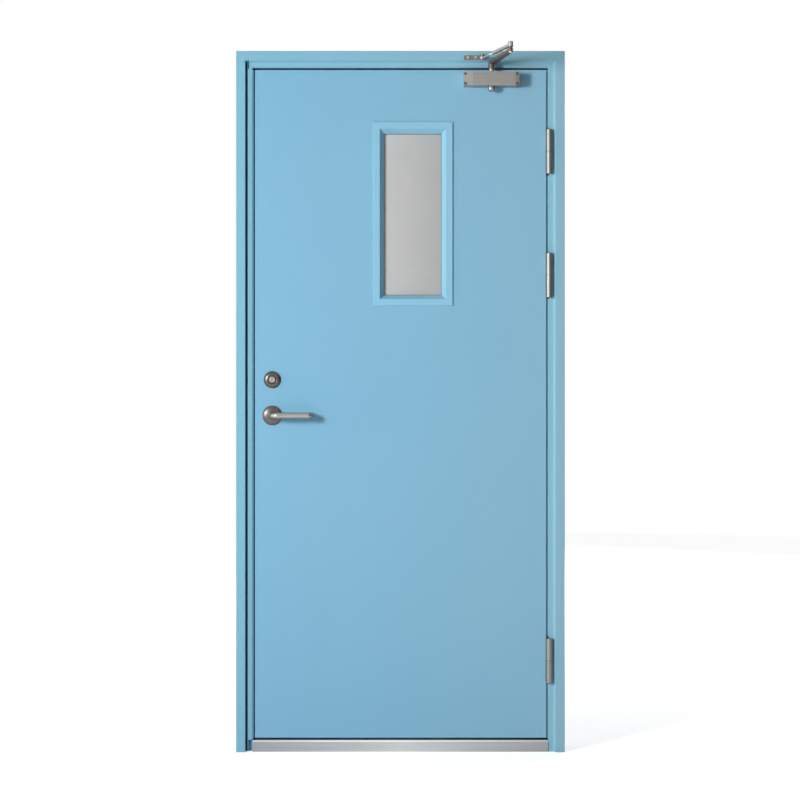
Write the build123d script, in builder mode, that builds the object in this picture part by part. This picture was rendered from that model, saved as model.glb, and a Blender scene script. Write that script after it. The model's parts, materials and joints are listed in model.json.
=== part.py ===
from build123d import *

import os
from math import atan, degrees

# Single-leaf steel fire door set: pressed frame, filled leaf with a glazed panel, lever lock,
# lift-off hinges, overhead closer with a folding arm, and a steel sill.
# X runs to the right, Y away from the pull side, Z up. The origin lies under the sill.

# Frame
FRAME_WIDTH = 1000.0
FRAME_HEIGHT = 2133.0
FRAME_DEPTH = 110.0
FRAME_SHEET = 1.5
FRAME_BEND = 2.0
FACE_WIDTH = 28.5
BEVEL_WIDTH = 6.0
BEVEL_DEPTH = 10.0
GROOVE_DEPTH = 20.0
BAND_WIDTH = 15.5
STOP_WIDTH = 20.0
RETURN_WIDTH = 15.0
SEAL_WIDTH = 12.0
SEAL_THICKNESS = 3.0
ANCHOR_RADIUS = 5.5
ANCHOR_FOOT = 160.0
ANCHOR_DROP = 153.0
ANCHOR_KNEE = 680.0
ANCHOR_PITCH = 600.0
CORNER_NOTCH_WIDTH = 11.0
CORNER_NOTCH_HEIGHT = 25.0
CLEAT_SETBACK = 22.0
CLEAT_MARGIN = 4.0
FOOT_SETBACK = 14.0

# Sill
SILL_HEIGHT = 36.5
SILL_UPSTAND = 14.0
SILL_NOSE = 6.0
SILL_SHEET = 1.5
SILL_PROUD = 2.0
SILL_FIT = 0.3

# Leaf
LEAF_THICKNESS = 50.0
LEAF_SHEET = 1.2
LEAF_BEND = 2.0
LOCK_GAP = 7.0
HINGE_GAP = 5.0
HEAD_GAP = 6.0
SILL_GAP = 5.5
STOP_GAP = 8.0
SEAM_GAP = 1.0
CORE_INSET = 2.0

# Vision panel
VISION_WIDTH = 242.0
VISION_HEIGHT = 559.0
VISION_X = 38.0
VISION_DROP = 159.5
VISION_BAND = 20.0
VISION_BEVEL = 13.0
VISION_PROUD = 5.0
VISION_BEVEL_DEPTH = 20.0
GLASS_THICKNESS = 8.0
GLASS_REBATE = 10.0
GLASS_FIT = 0.3
NOSE_FIT = 1.0

# Hinges
HINGE_DROP = 250.0
HINGE_PAIR = 376.0
HINGE_RISE = 237.0
HINGE_LENGTH = 136.0
HINGE_RADIUS = 9.3
HINGE_EDGE_OFFSET = 7.0
HINGE_CLEAR = 0.7
KNUCKLE_GAP = 1.0
KNUCKLE_BREAK = 1.5
PIN_RADIUS = 5.0
PIN_FIT = 0.08
PIN_REACH = 54.0
FLAP_THICKNESS = 2.5
FLAP_DEPTH = 32.0
FLAP_FIT = 0.2
MORTISE_RELIEF = 5.0

# Lock furniture
BACKSET = 53.0
LEVER_Z = 1024.0
LOCK_CENTRES = 109.0
ROSE_RADIUS = 30.0
ROSE_THICKNESS = 8.0
LEVER_RADIUS = 9.6
LEVER_LENGTH = 117.0
LEVER_PROJECTION = 52.0
LEVER_NECK_BEND = 20.0
LEVER_RETURN_BEND = 10.5
LEVER_TIP_GAP = 9.0
NECK_FIT = 0.4
SPINDLE_SIZE = 8.0
SPINDLE_FIT = 0.1
SPINDLE_REACH = 30.0
COLLAR_RADIUS = 26.0
COLLAR_TOP_RADIUS = 21.0
COLLAR_BASE = 2.5
COLLAR_HEIGHT = 8.5
PLUG_RADIUS = 9.5
PLUG_PROUD = 5.0
PLUG_FIT = 0.3
CYLINDER_WALL = 3.0
KEYWAY_WIDTH = 2.6
KEYWAY_HEIGHT = 12.0
KEYWAY_DEPTH = 8.0
TURN_LENGTH = 36.0
TURN_WIDTH = 12.0
TURN_HEIGHT = 18.0
EDGE_BREAK = 2.0
FINE_BREAK = 1.0
END_GAP = 1.0
FOREND_LENGTH = 235.0
FOREND_WIDTH = 22.0
FOREND_THICKNESS = 3.0
STRIKE_THICKNESS = 2.0
BOLT_WIDTH = 14.0
BOLT_HEIGHT = 30.0
BOLT_LENGTH = 40.0
BOLT_FIT = 0.3
CASE_DEPTH = 92.0
CASE_HEIGHT = 190.0
CASE_WIDTH = 20.0
CASE_FIT = 1.0

# Closer, placed from the hinge axis
PINION_DX = -176.4
PINION_DY = -18.0
SHOE_DX = -204.0
SHOE_DY = -15.0
ELBOW_DX = -130.5
ELBOW_DY = -215.0
CLOSER_LENGTH = 168.0
CLOSER_HEIGHT = 42.0
CLOSER_DEPTH = 46.0
CLOSER_DROP = 13.0
CLOSER_ROUND = 5.0
CAP_LEFT = 27.0
CAP_RIGHT = 11.0
CAP_INSET = 1.0
CAP_BORE_RADIUS = 4.0
CAP_BORE_EDGE = 5.5
CAP_BORE_FLOOR = 8.0
PINION_RADIUS = 7.0
PINION_FIT = 0.3
PINION_DEPTH = 22.0
PINION_SHOW = 8.0
COLLAR_RISE = 3.0
COLLAR_WALL = 5.0
DOME_RADIUS = 11.0
DOME_HEIGHT = 17.0
HUB_RADIUS = 9.5
ARM_THICKNESS = 10.0
ARM_TIP_RADIUS = 8.5
ARM_BREAK = 1.5
ELBOW_BOSS = 6.0
ELBOW_GAP = 0.5
KNOB_HEIGHT = 7.0
KNOB_BREAK = 3.0
FOREARM_THICKNESS = 8.0
FOREARM_SLEEVE = 120.0
SLEEVE_WIDTH = 10.0
ROD_RADIUS = 3.0
ROD_FIT = 0.2
ROD_OVERLAP = 30.0
EYE_RADIUS = 7.0
SHOE_PIN_RADIUS = 3.5
SHOE_PIN_FIT = 0.08
SHOE_PIN_TAIL = 1.0
SHOE_LENGTH = 62.0
SHOE_HEIGHT = 13.0
SHOE_DROP = 14.5
SHOE_THICKNESS = 4.0
SHOE_ROUND = 3.0
TONGUE_THICKNESS = 6.0
TONGUE_GAP = 0.5

# Length by which a cut runs past the surface it opens
OVERCUT = 1.0

# Planes and edges that several pieces share
FRONT = -FRAME_DEPTH / 2
BACK = FRAME_DEPTH / 2
EDGE = FRAME_WIDTH / 2
MEMBER = FACE_WIDTH + BEVEL_WIDTH + BAND_WIDTH
REBATE = EDGE - MEMBER
SOFFIT = REBATE - STOP_WIDTH
LEAF_FRONT = FRONT + BEVEL_DEPTH
LEAF_BACK = LEAF_FRONT + LEAF_THICKNESS
LEAF_MIDDLE = (LEAF_FRONT + LEAF_BACK) / 2
STOP = LEAF_BACK + STOP_GAP
LEAF_LEFT = -REBATE + LOCK_GAP
LEAF_RIGHT = REBATE - HINGE_GAP
LEAF_BASE = SILL_HEIGHT + SILL_GAP
LEAF_TOP = FRAME_HEIGHT - MEMBER - HEAD_GAP
LOCK_X = LEAF_LEFT + BACKSET
CYLINDER_Z = LEVER_Z + LOCK_CENTRES
VISION_Z = LEAF_TOP - VISION_DROP - VISION_HEIGHT / 2
HINGE_TOP = LEAF_TOP - HINGE_DROP
HINGE_MIDDLE = HINGE_TOP - HINGE_PAIR
HINGE_BOTTOM = LEAF_BASE + HINGE_RISE
AXIS_X = LEAF_RIGHT + HINGE_EDGE_OFFSET
AXIS_Y = LEAF_FRONT - HINGE_RADIUS - HINGE_CLEAR
PINION_X = AXIS_X + PINION_DX
PINION_Y = AXIS_Y + PINION_DY
SHOE_X = AXIS_X + SHOE_DX
SHOE_Y = AXIS_Y + SHOE_DY
ELBOW_X = AXIS_X + ELBOW_DX
ELBOW_Y = AXIS_Y + ELBOW_DY
CLOSER_TOP = LEAF_TOP - CLOSER_DROP
CLOSER_BASE = CLOSER_TOP - CLOSER_HEIGHT
TONGUE_TOP = FRAME_HEIGHT - SHOE_DROP
TONGUE_BASE = TONGUE_TOP - TONGUE_THICKNESS
FOREARM_TOP = TONGUE_BASE - TONGUE_GAP
FOREARM_BASE = FOREARM_TOP - FOREARM_THICKNESS
FOREARM_MIDDLE = (FOREARM_TOP + FOREARM_BASE) / 2
ELBOW_TOP = FOREARM_BASE - ELBOW_GAP
HUB_TOP = ELBOW_TOP - ELBOW_BOSS
HUB_BASE = CLOSER_TOP + COLLAR_RISE + PINION_SHOW
HINGE_LEVELS = {"top": HINGE_TOP, "middle": HINGE_MIDDLE, "bottom": HINGE_BOTTOM}
ANCHOR_LEVELS = (ANCHOR_FOOT, ANCHOR_KNEE, ANCHOR_KNEE + ANCHOR_PITCH, FRAME_HEIGHT - ANCHOR_DROP)


# Steps from a frame member's face back to the band beside the leaf
BAND_EDGE = FACE_WIDTH + BEVEL_WIDTH
BEVEL_STEP = ((FACE_WIDTH, FRONT), (BAND_EDGE, LEAF_FRONT))
GROOVE_STEP = (
    (FACE_WIDTH, FRONT),
    (FACE_WIDTH, FRONT + GROOVE_DEPTH),
    (BAND_EDGE, FRONT + GROOVE_DEPTH),
    (BAND_EDGE, LEAF_FRONT),
)


def facing(y):
    """Plane parallel to the leaf at depth y, drawn as seen from the pull side."""
    return Plane.XZ.offset(-y)


def level(z):
    """Horizontal plane at height z."""
    return Plane.XY.offset(z)


def block(low, high, mode=Mode.ADD):
    """Box between two corners, in the part being built."""
    size = [b - a for a, b in zip(low, high)]
    centre = [(a + b) / 2 for a, b in zip(low, high)]
    with Locations(tuple(centre)):
        Box(*size, mode=mode)


def post(x, y, low, high, radius, mode=Mode.ADD):
    """Upright round bar between two heights."""
    with Locations((x, y, (low + high) / 2)):
        Cylinder(radius, high - low, mode=mode)


def pin_through(x, z, front, back, radius, mode=Mode.ADD):
    """Round bar across the leaf between two depths."""
    with BuildSketch(facing(back)) as outline:
        with Locations((x, z)):
            Circle(radius)
    extrude(outline.sketch, amount=back - front, mode=mode)


def finish_part(piece, name):
    """Label a finished piece and write it out."""
    piece.part.label = name
    export_step(piece.part, f"parts/{name}.step")


def member_section(plane, step):
    """Folded sheet section of a frame member, from its outer edge inwards and front to back."""
    with BuildSketch(plane) as section:
        with BuildLine():
            Polyline(
                (0, FRONT),
                *step,
                (MEMBER, LEAF_FRONT),
                (MEMBER, STOP),
                (MEMBER + STOP_WIDTH, STOP),
                (MEMBER + STOP_WIDTH, BACK),
                (0, BACK),
                close=True,
            )
        make_face()
        fillet(section.vertices(), FRAME_BEND)
        offset(amount=-FRAME_SHEET, kind=Kind.INTERSECTION, mode=Mode.SUBTRACT)
        with Locations((0, 0)):
            Rectangle(4 * FRAME_SHEET, FRAME_DEPTH - 2 * RETURN_WIDTH, mode=Mode.SUBTRACT)
    return section.sketch


def anchor_holes(side):
    """Fixing holes through the rebate wall of the jamb on one side."""
    for height in ANCHOR_LEVELS:
        with BuildSketch(Plane.YZ.offset(side * (REBATE + FRAME_BEND))) as hole:
            with Locations((LEAF_MIDDLE, height)):
                Circle(ANCHOR_RADIUS)
        extrude(hole.sketch, amount=-side * 2 * FRAME_BEND, mode=Mode.SUBTRACT)


def hinge_mortise(height):
    """Seat for a hinge flap in the hinge jamb, with relief at the front corner."""
    half = HINGE_LENGTH / 2 + FLAP_FIT
    out = REBATE + FLAP_THICKNESS + FLAP_FIT
    back = LEAF_FRONT + FLAP_DEPTH + FLAP_FIT
    block((REBATE - OVERCUT, LEAF_FRONT - OVERCUT, height - half), (out, back, height + half), Mode.SUBTRACT)
    half += MORTISE_RELIEF
    relief = LEAF_FRONT + MORTISE_RELIEF
    block(
        (REBATE - OVERCUT, LEAF_FRONT - OVERCUT, height - half), (out, relief, height + half), Mode.SUBTRACT,
    )


def corner_notch():
    """Small gap left open at the lock-side corner, where the jamb's groove meets the head's bevel."""
    outer = -EDGE + FACE_WIDTH
    top = FRAME_HEIGHT - FACE_WIDTH
    block(
        (outer, FRONT - OVERCUT, top - CORNER_NOTCH_HEIGHT),
        (outer + CORNER_NOTCH_WIDTH, LEAF_FRONT + FRAME_BEND, top),
        Mode.SUBTRACT,
    )


def inner_plate(setback, low, high, right):
    """Sheet inside the lock jamb, behind an opening in its front, that ends at the rebate wall."""
    left = -EDGE + FACE_WIDTH - CLEAT_MARGIN
    front = LEAF_FRONT + setback
    block((left, front, low), (right, front + FRAME_SHEET, high))


os.makedirs("parts", exist_ok=True)

# Hinge jamb, mitred at the head
with BuildPart() as hinge_jamb:
    right_top = Plane(origin=(EDGE, 0, FRAME_HEIGHT), x_dir=(-1, 0, 0), z_dir=(0, 0, -1))
    extrude(member_section(right_top, BEVEL_STEP), amount=FRAME_HEIGHT)
    split(bisect_by=Plane(origin=(EDGE, 0, FRAME_HEIGHT), z_dir=(1, 0, -1)), keep=Keep.TOP)
    anchor_holes(1)
    for hinge_height in HINGE_LEVELS.values():
        hinge_mortise(hinge_height)
finish_part(hinge_jamb, "hinge_jamb")

# Lock jamb, with a deep groove beside its face, the seat of the strike plate and a notch at its foot
STRIKE_HALF = FOREND_LENGTH / 2
STRIKE_Z = (LEVER_Z + CYLINDER_Z) / 2
PLATE_SEAT = FOREND_WIDTH / 2 + FLAP_FIT
with BuildPart() as lock_jamb:
    left_base = Plane(origin=(-EDGE, 0, 0), x_dir=(1, 0, 0), z_dir=(0, 0, 1))
    extrude(member_section(left_base, GROOVE_STEP), amount=FRAME_HEIGHT)
    split(bisect_by=Plane(origin=(-EDGE, 0, FRAME_HEIGHT), z_dir=(-1, 0, -1)), keep=Keep.TOP)
    anchor_holes(-1)
    corner_notch()
    block(
        (-REBATE - STRIKE_THICKNESS - OVERCUT, LEAF_MIDDLE - PLATE_SEAT, STRIKE_Z - STRIKE_HALF - FLAP_FIT),
        (-REBATE + OVERCUT, LEAF_MIDDLE + PLATE_SEAT, STRIKE_Z + STRIKE_HALF + FLAP_FIT),
        Mode.SUBTRACT,
    )
    block(
        (-REBATE - BAND_WIDTH + FRAME_BEND, LEAF_FRONT - OVERCUT, -OVERCUT),
        (-REBATE + OVERCUT, LEAF_FRONT + FRAME_BEND, SILL_HEIGHT),
        Mode.SUBTRACT,
    )
finish_part(lock_jamb, "lock_jamb")

# Plates welded to the lock jamb's rebate wall, one behind the foot notch and one behind the head corner
WALL_FACE = -REBATE - FRAME_SHEET
CLEAT_TOP = FRAME_HEIGHT - FACE_WIDTH + CLEAT_MARGIN
CLEAT_BASE = CLEAT_TOP - 2 * CORNER_NOTCH_HEIGHT
REBATE_MITRE = FRAME_HEIGHT - MEMBER - CLEAT_MARGIN
with BuildPart() as foot_plate:
    inner_plate(FOOT_SETBACK, 0, SILL_HEIGHT + CLEAT_MARGIN, WALL_FACE)
finish_part(foot_plate, "foot_plate")

with BuildPart() as corner_cleat:
    inner_plate(CLEAT_SETBACK, CLEAT_BASE, REBATE_MITRE, WALL_FACE)
    inner_plate(CLEAT_SETBACK, CLEAT_BASE, CLEAT_TOP, WALL_FACE - CLEAT_MARGIN)
finish_part(corner_cleat, "corner_cleat")

# Head, mitred at both ends
with BuildPart() as frame_head:
    left_top = Plane(origin=(-EDGE, 0, FRAME_HEIGHT), x_dir=(0, 0, -1), z_dir=(1, 0, 0))
    extrude(member_section(left_top, BEVEL_STEP), amount=FRAME_WIDTH)
    split(bisect_by=Plane(origin=(EDGE, 0, FRAME_HEIGHT), z_dir=(-1, 0, 1)), keep=Keep.TOP)
    split(bisect_by=Plane(origin=(-EDGE, 0, FRAME_HEIGHT), z_dir=(1, 0, 1)), keep=Keep.TOP)
    corner_notch()
finish_part(frame_head, "frame_head")

# Sill, a folded box that narrows behind the leaf to pass between the stops
SILL_FRONT = LEAF_FRONT - SILL_PROUD
SILL_BACK = BACK - SILL_PROUD
SILL_TOP = SILL_HEIGHT + SILL_UPSTAND
with BuildPart() as sill:
    with BuildSketch(Plane.YZ.offset(-REBATE + SILL_FIT)) as sill_section:
        with BuildLine():
            Polyline(
                (SILL_FRONT, 0),
                (SILL_BACK, 0),
                (SILL_BACK, SILL_TOP),
                (STOP, SILL_TOP),
                (STOP, SILL_HEIGHT),
                (SILL_FRONT, SILL_HEIGHT),
                close=True,
            )
        make_face()
        fillet(sill_section.vertices().group_by(Axis.Y)[-1], FRAME_BEND)
        fillet(sill_section.vertices().group_by(Axis.X)[0].sort_by(Axis.Y)[-1], SILL_NOSE)
        offset(amount=-SILL_SHEET, kind=Kind.INTERSECTION, mode=Mode.SUBTRACT)
    extrude(amount=2 * (REBATE - SILL_FIT))
    for end in (-1, 1):
        inner = end * (SOFFIT - SILL_FIT)
        outer = end * (REBATE + OVERCUT)
        block(
            (min(inner, outer), STOP - FRAME_BEND, -OVERCUT),
            (max(inner, outer), BACK, SILL_TOP + OVERCUT),
            Mode.SUBTRACT,
        )
finish_part(sill, "sill")

# Seal strips on the stops
SEAL_FRONT = STOP - SEAL_THICKNESS
SEAL_INSET = (STOP_WIDTH - SEAL_WIDTH) / 2
HEAD_STOP = FRAME_HEIGHT - MEMBER - STOP_WIDTH
for side, seal_name in ((-1, "lock_jamb_seal"), (1, "hinge_jamb_seal")):
    with BuildPart() as jamb_seal:
        seal_low = min(side * (SOFFIT + SEAL_INSET), side * (REBATE - SEAL_INSET))
        block(
            (seal_low, SEAL_FRONT, SILL_TOP + SEAL_INSET),
            (seal_low + SEAL_WIDTH, STOP, HEAD_STOP),
        )
        fillet(jamb_seal.edges().filter_by(Axis.Z).group_by(Axis.Y)[0], SEAL_THICKNESS / 3)
    finish_part(jamb_seal, seal_name)
with BuildPart() as head_seal:
    block(
        (-REBATE + SEAL_INSET, SEAL_FRONT, HEAD_STOP + SEAL_INSET),
        (REBATE - SEAL_INSET, STOP, HEAD_STOP + SEAL_INSET + SEAL_WIDTH),
    )
    fillet(head_seal.edges().filter_by(Axis.X).group_by(Axis.Y)[0], SEAL_THICKNESS / 3)
finish_part(head_seal, "head_seal")


def bolt_slots(plane, depth):
    """Openings for the latch and dead bolts through a plate on the leaf edge or jamb."""
    for height in (LEVER_Z, CYLINDER_Z):
        with BuildSketch(plane) as slot:
            with Locations((LEAF_MIDDLE, height)):
                Rectangle(BOLT_WIDTH + 2 * BOLT_FIT, BOLT_HEIGHT + 2 * BOLT_FIT)
        extrude(slot.sketch, amount=depth, mode=Mode.SUBTRACT)


# Strike plate let into the lock jamb
with BuildPart() as strike_plate:
    with BuildSketch(Plane.YZ.offset(-REBATE)):
        with Locations((LEAF_MIDDLE, STRIKE_Z)):
            RectangleRounded(FOREND_WIDTH, FOREND_LENGTH, FRAME_BEND)
    extrude(amount=-STRIKE_THICKNESS)
    bolt_slots(Plane.YZ.offset(-REBATE), -STRIKE_THICKNESS)
finish_part(strike_plate, "strike_plate")

# Leaf skins, two folded trays that meet in a seam on the leaf edges
VISION_CUT_WIDTH = VISION_WIDTH - 2 * VISION_BAND
VISION_CUT_HEIGHT = VISION_HEIGHT - 2 * VISION_BAND
SKIN_BORE = SPINDLE_SIZE + 2 * NOSE_FIT
CYLINDER_BORE = PLUG_RADIUS + CYLINDER_WALL
SKIN_DEPTH = LEAF_THICKNESS / 2 - SEAM_GAP / 2
CASE_LEFT = LEAF_LEFT + FOREND_THICKNESS + FLAP_FIT


def leaf_openings():
    """Window, lock bores, forend seat and hinge seats through the leaf being built."""
    with BuildSketch(facing(LEAF_BACK + OVERCUT)) as cuts:
        with Locations((VISION_X, VISION_Z)):
            Rectangle(VISION_CUT_WIDTH, VISION_CUT_HEIGHT)
        with Locations((LOCK_X, LEVER_Z)):
            Circle(SKIN_BORE)
        with Locations((LOCK_X, CYLINDER_Z)):
            Circle(CYLINDER_BORE)
    extrude(cuts.sketch, amount=LEAF_THICKNESS + 2 * OVERCUT, mode=Mode.SUBTRACT)
    block(
        (LEAF_LEFT - OVERCUT, LEAF_MIDDLE - PLATE_SEAT, STRIKE_Z - STRIKE_HALF - FLAP_FIT),
        (CASE_LEFT, LEAF_MIDDLE + PLATE_SEAT, STRIKE_Z + STRIKE_HALF + FLAP_FIT),
        Mode.SUBTRACT,
    )
    for height in HINGE_LEVELS.values():
        half = HINGE_LENGTH / 2 + FLAP_FIT
        block(
            (LEAF_RIGHT - FLAP_THICKNESS - FLAP_FIT, LEAF_FRONT - OVERCUT, height - half),
            (LEAF_RIGHT + OVERCUT, LEAF_FRONT + FLAP_DEPTH + FLAP_FIT, height + half),
            Mode.SUBTRACT,
        )


def leaf_sheet(inset):
    """Outline of the leaf, drawn in by inset, on the sketch being built."""
    with Locations(((LEAF_LEFT + LEAF_RIGHT) / 2, (LEAF_BASE + LEAF_TOP) / 2)):
        Rectangle(LEAF_RIGHT - LEAF_LEFT - 2 * inset, LEAF_TOP - LEAF_BASE - 2 * inset)


with BuildPart() as leaf_front_skin:
    with BuildSketch(facing(LEAF_FRONT + SKIN_DEPTH)):
        leaf_sheet(0)
    extrude(amount=SKIN_DEPTH)
    fillet(leaf_front_skin.faces().sort_by(Axis.Y)[0].edges(), LEAF_BEND)
    with BuildSketch(facing(LEAF_FRONT + SKIN_DEPTH)):
        leaf_sheet(LEAF_SHEET)
    extrude(amount=SKIN_DEPTH - LEAF_SHEET, mode=Mode.SUBTRACT)
    leaf_openings()
finish_part(leaf_front_skin, "leaf_front_skin")

with BuildPart() as leaf_back_skin:
    with BuildSketch(facing(LEAF_BACK)):
        leaf_sheet(0)
    extrude(amount=SKIN_DEPTH)
    fillet(leaf_back_skin.faces().sort_by(Axis.Y)[-1].edges(), LEAF_BEND)
    with BuildSketch(facing(LEAF_BACK - LEAF_SHEET)):
        leaf_sheet(LEAF_SHEET)
    extrude(amount=SKIN_DEPTH, mode=Mode.SUBTRACT)
    leaf_openings()
finish_part(leaf_back_skin, "leaf_back_skin")

# Leaf core, the fire-resisting board between the skins
CASE_SEAT = CASE_WIDTH / 2 + CASE_FIT
CASE_HALF = CASE_HEIGHT / 2 + CASE_FIT
with BuildPart() as leaf_core:
    with BuildSketch(facing(LEAF_BACK - LEAF_SHEET)):
        leaf_sheet(LEAF_SHEET + CORE_INSET)
    extrude(amount=LEAF_THICKNESS - 2 * LEAF_SHEET)
    leaf_openings()
    block(
        (LEAF_LEFT - OVERCUT, LEAF_MIDDLE - CASE_SEAT, STRIKE_Z - CASE_HALF),
        (CASE_LEFT + CASE_DEPTH + CASE_FIT, LEAF_MIDDLE + CASE_SEAT, STRIKE_Z + CASE_HALF),
        Mode.SUBTRACT,
    )
finish_part(leaf_core, "leaf_core")

# Vision panel, a bevelled frame on each side that traps the glass
NOSE_REACH = LEAF_THICKNESS / 2 - GLASS_THICKNESS / 2 - GLASS_FIT
SIGHT_WIDTH = VISION_CUT_WIDTH - 2 * VISION_BEVEL
SIGHT_HEIGHT = VISION_CUT_HEIGHT - 2 * VISION_BEVEL


def vision_rectangle(plane, width, height):
    """Rectangle centred on the vision panel."""
    with BuildSketch(plane) as sketch:
        with Locations((VISION_X, VISION_Z)):
            Rectangle(width, height)
    return sketch.sketch


with BuildPart() as vision_frame_front:
    extrude(vision_rectangle(facing(LEAF_FRONT), VISION_WIDTH, VISION_HEIGHT), amount=VISION_PROUD)
    fillet(vision_frame_front.faces().sort_by(Axis.Y)[0].edges(), FRAME_BEND / 2)
    nose = vision_rectangle(
        facing(LEAF_FRONT), VISION_CUT_WIDTH - 2 * NOSE_FIT, VISION_CUT_HEIGHT - 2 * NOSE_FIT
    )
    extrude(nose, amount=-NOSE_REACH)
    bevel = vision_rectangle(facing(LEAF_FRONT - VISION_PROUD), VISION_CUT_WIDTH, VISION_CUT_HEIGHT)
    slope = degrees(atan(VISION_BEVEL / VISION_BEVEL_DEPTH))
    extrude(bevel, amount=-VISION_BEVEL_DEPTH, taper=slope, mode=Mode.SUBTRACT)
    sight = vision_rectangle(facing(LEAF_MIDDLE), SIGHT_WIDTH, SIGHT_HEIGHT)
    extrude(sight, amount=LEAF_THICKNESS, mode=Mode.SUBTRACT)
finish_part(vision_frame_front, "vision_frame_front")

with BuildPart() as vision_frame_back:
    mirror(vision_frame_front.part, about=facing(LEAF_MIDDLE))
finish_part(vision_frame_back, "vision_frame_back")

with BuildPart() as vision_glass:
    pane_plane = facing(LEAF_MIDDLE + GLASS_THICKNESS / 2)
    pane = vision_rectangle(pane_plane, SIGHT_WIDTH + 2 * GLASS_REBATE, SIGHT_HEIGHT + 2 * GLASS_REBATE)
    extrude(pane, amount=GLASS_THICKNESS)
finish_part(vision_glass, "vision_glass")

# Hinges: the lower knuckle and pin stay on the jamb, the upper knuckle on the leaf
for place, height in HINGE_LEVELS.items():
    base = height - HINGE_LENGTH / 2
    top = height + HINGE_LENGTH / 2
    with BuildPart() as frame_half:
        post(AXIS_X, AXIS_Y, base, height - KNUCKLE_GAP / 2, HINGE_RADIUS)
        chamfer(frame_half.edges().group_by(Axis.Z)[0], KNUCKLE_BREAK)
        block(
            (REBATE, AXIS_Y, base),
            (REBATE + FLAP_THICKNESS, LEAF_FRONT + FLAP_DEPTH, height - KNUCKLE_GAP / 2),
        )
        block(
            (REBATE, LEAF_FRONT + FLAP_FIT, base),
            (REBATE + FLAP_THICKNESS, LEAF_FRONT + FLAP_DEPTH, top),
        )
        post(AXIS_X, AXIS_Y, height - KNUCKLE_GAP, height + PIN_REACH, PIN_RADIUS)
        chamfer(frame_half.edges().filter_by(GeomType.CIRCLE).group_by(Axis.Z)[-1], FINE_BREAK)
    finish_part(frame_half, f"{place}_hinge_frame_half")
    with BuildPart() as leaf_half:
        post(AXIS_X, AXIS_Y, height + KNUCKLE_GAP / 2, top, HINGE_RADIUS)
        chamfer(leaf_half.edges().group_by(Axis.Z)[-1], KNUCKLE_BREAK)
        block(
            (LEAF_RIGHT - FLAP_THICKNESS, AXIS_Y, height + KNUCKLE_GAP / 2),
            (LEAF_RIGHT, LEAF_FRONT + FLAP_DEPTH, top),
        )
        block(
            (LEAF_RIGHT - FLAP_THICKNESS, LEAF_FRONT + FLAP_FIT, base),
            (LEAF_RIGHT, LEAF_FRONT + FLAP_DEPTH, top),
        )
        post(AXIS_X, AXIS_Y, height, height + PIN_REACH + KNUCKLE_GAP, PIN_RADIUS + PIN_FIT, Mode.SUBTRACT)
    finish_part(leaf_half, f"{place}_hinge_leaf_half")

# Lock case, forend and the two bolts drawn back flush
with BuildPart() as lock_forend:
    with BuildSketch(Plane.YZ.offset(LEAF_LEFT)):
        with Locations((LEAF_MIDDLE, STRIKE_Z)):
            RectangleRounded(FOREND_WIDTH, FOREND_LENGTH, FRAME_BEND)
    extrude(amount=FOREND_THICKNESS)
    bolt_slots(Plane.YZ.offset(LEAF_LEFT), FOREND_THICKNESS)
finish_part(lock_forend, "lock_forend")

with BuildPart() as lock_case:
    block(
        (CASE_LEFT, LEAF_MIDDLE - CASE_WIDTH / 2, STRIKE_Z - CASE_HEIGHT / 2),
        (CASE_LEFT + CASE_DEPTH, LEAF_MIDDLE + CASE_WIDTH / 2, STRIKE_Z + CASE_HEIGHT / 2),
    )
    bolt_slots(Plane.YZ.offset(LEAF_LEFT), BOLT_LENGTH + BOLT_FIT)
    pin_through(LOCK_X, LEVER_Z, LEAF_FRONT, LEAF_BACK, SPINDLE_SIZE * 0.75, Mode.SUBTRACT)
finish_part(lock_case, "lock_case")

for bolt_name, bolt_z in (("latch_bolt", LEVER_Z), ("dead_bolt", CYLINDER_Z)):
    with BuildPart() as lock_bolt:
        with BuildSketch(Plane.YZ.offset(LEAF_LEFT)):
            with Locations((LEAF_MIDDLE, bolt_z)):
                Rectangle(BOLT_WIDTH, BOLT_HEIGHT)
        extrude(amount=BOLT_LENGTH)
        nose_edges = lock_bolt.faces().sort_by(Axis.X)[0].edges()
        chamfer(nose_edges, FINE_BREAK)
    finish_part(lock_bolt, bolt_name)

# Lever roses and levers, front and back, on one square spindle
with BuildPart() as lever_rose_front:
    pin_through(LOCK_X, LEVER_Z, LEAF_FRONT - ROSE_THICKNESS, LEAF_FRONT, ROSE_RADIUS)
    chamfer(lever_rose_front.faces().sort_by(Axis.Y)[0].edges(), EDGE_BREAK)
    neck_bore = LEVER_RADIUS + NECK_FIT
    pin_through(
        LOCK_X, LEVER_Z, LEAF_FRONT - 2 * ROSE_THICKNESS, LEAF_FRONT + OVERCUT, neck_bore, Mode.SUBTRACT,
    )
finish_part(lever_rose_front, "lever_rose_front")

with BuildPart() as lever_rose_back:
    mirror(lever_rose_front.part, about=facing(LEAF_MIDDLE))
finish_part(lever_rose_back, "lever_rose_back")

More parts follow.
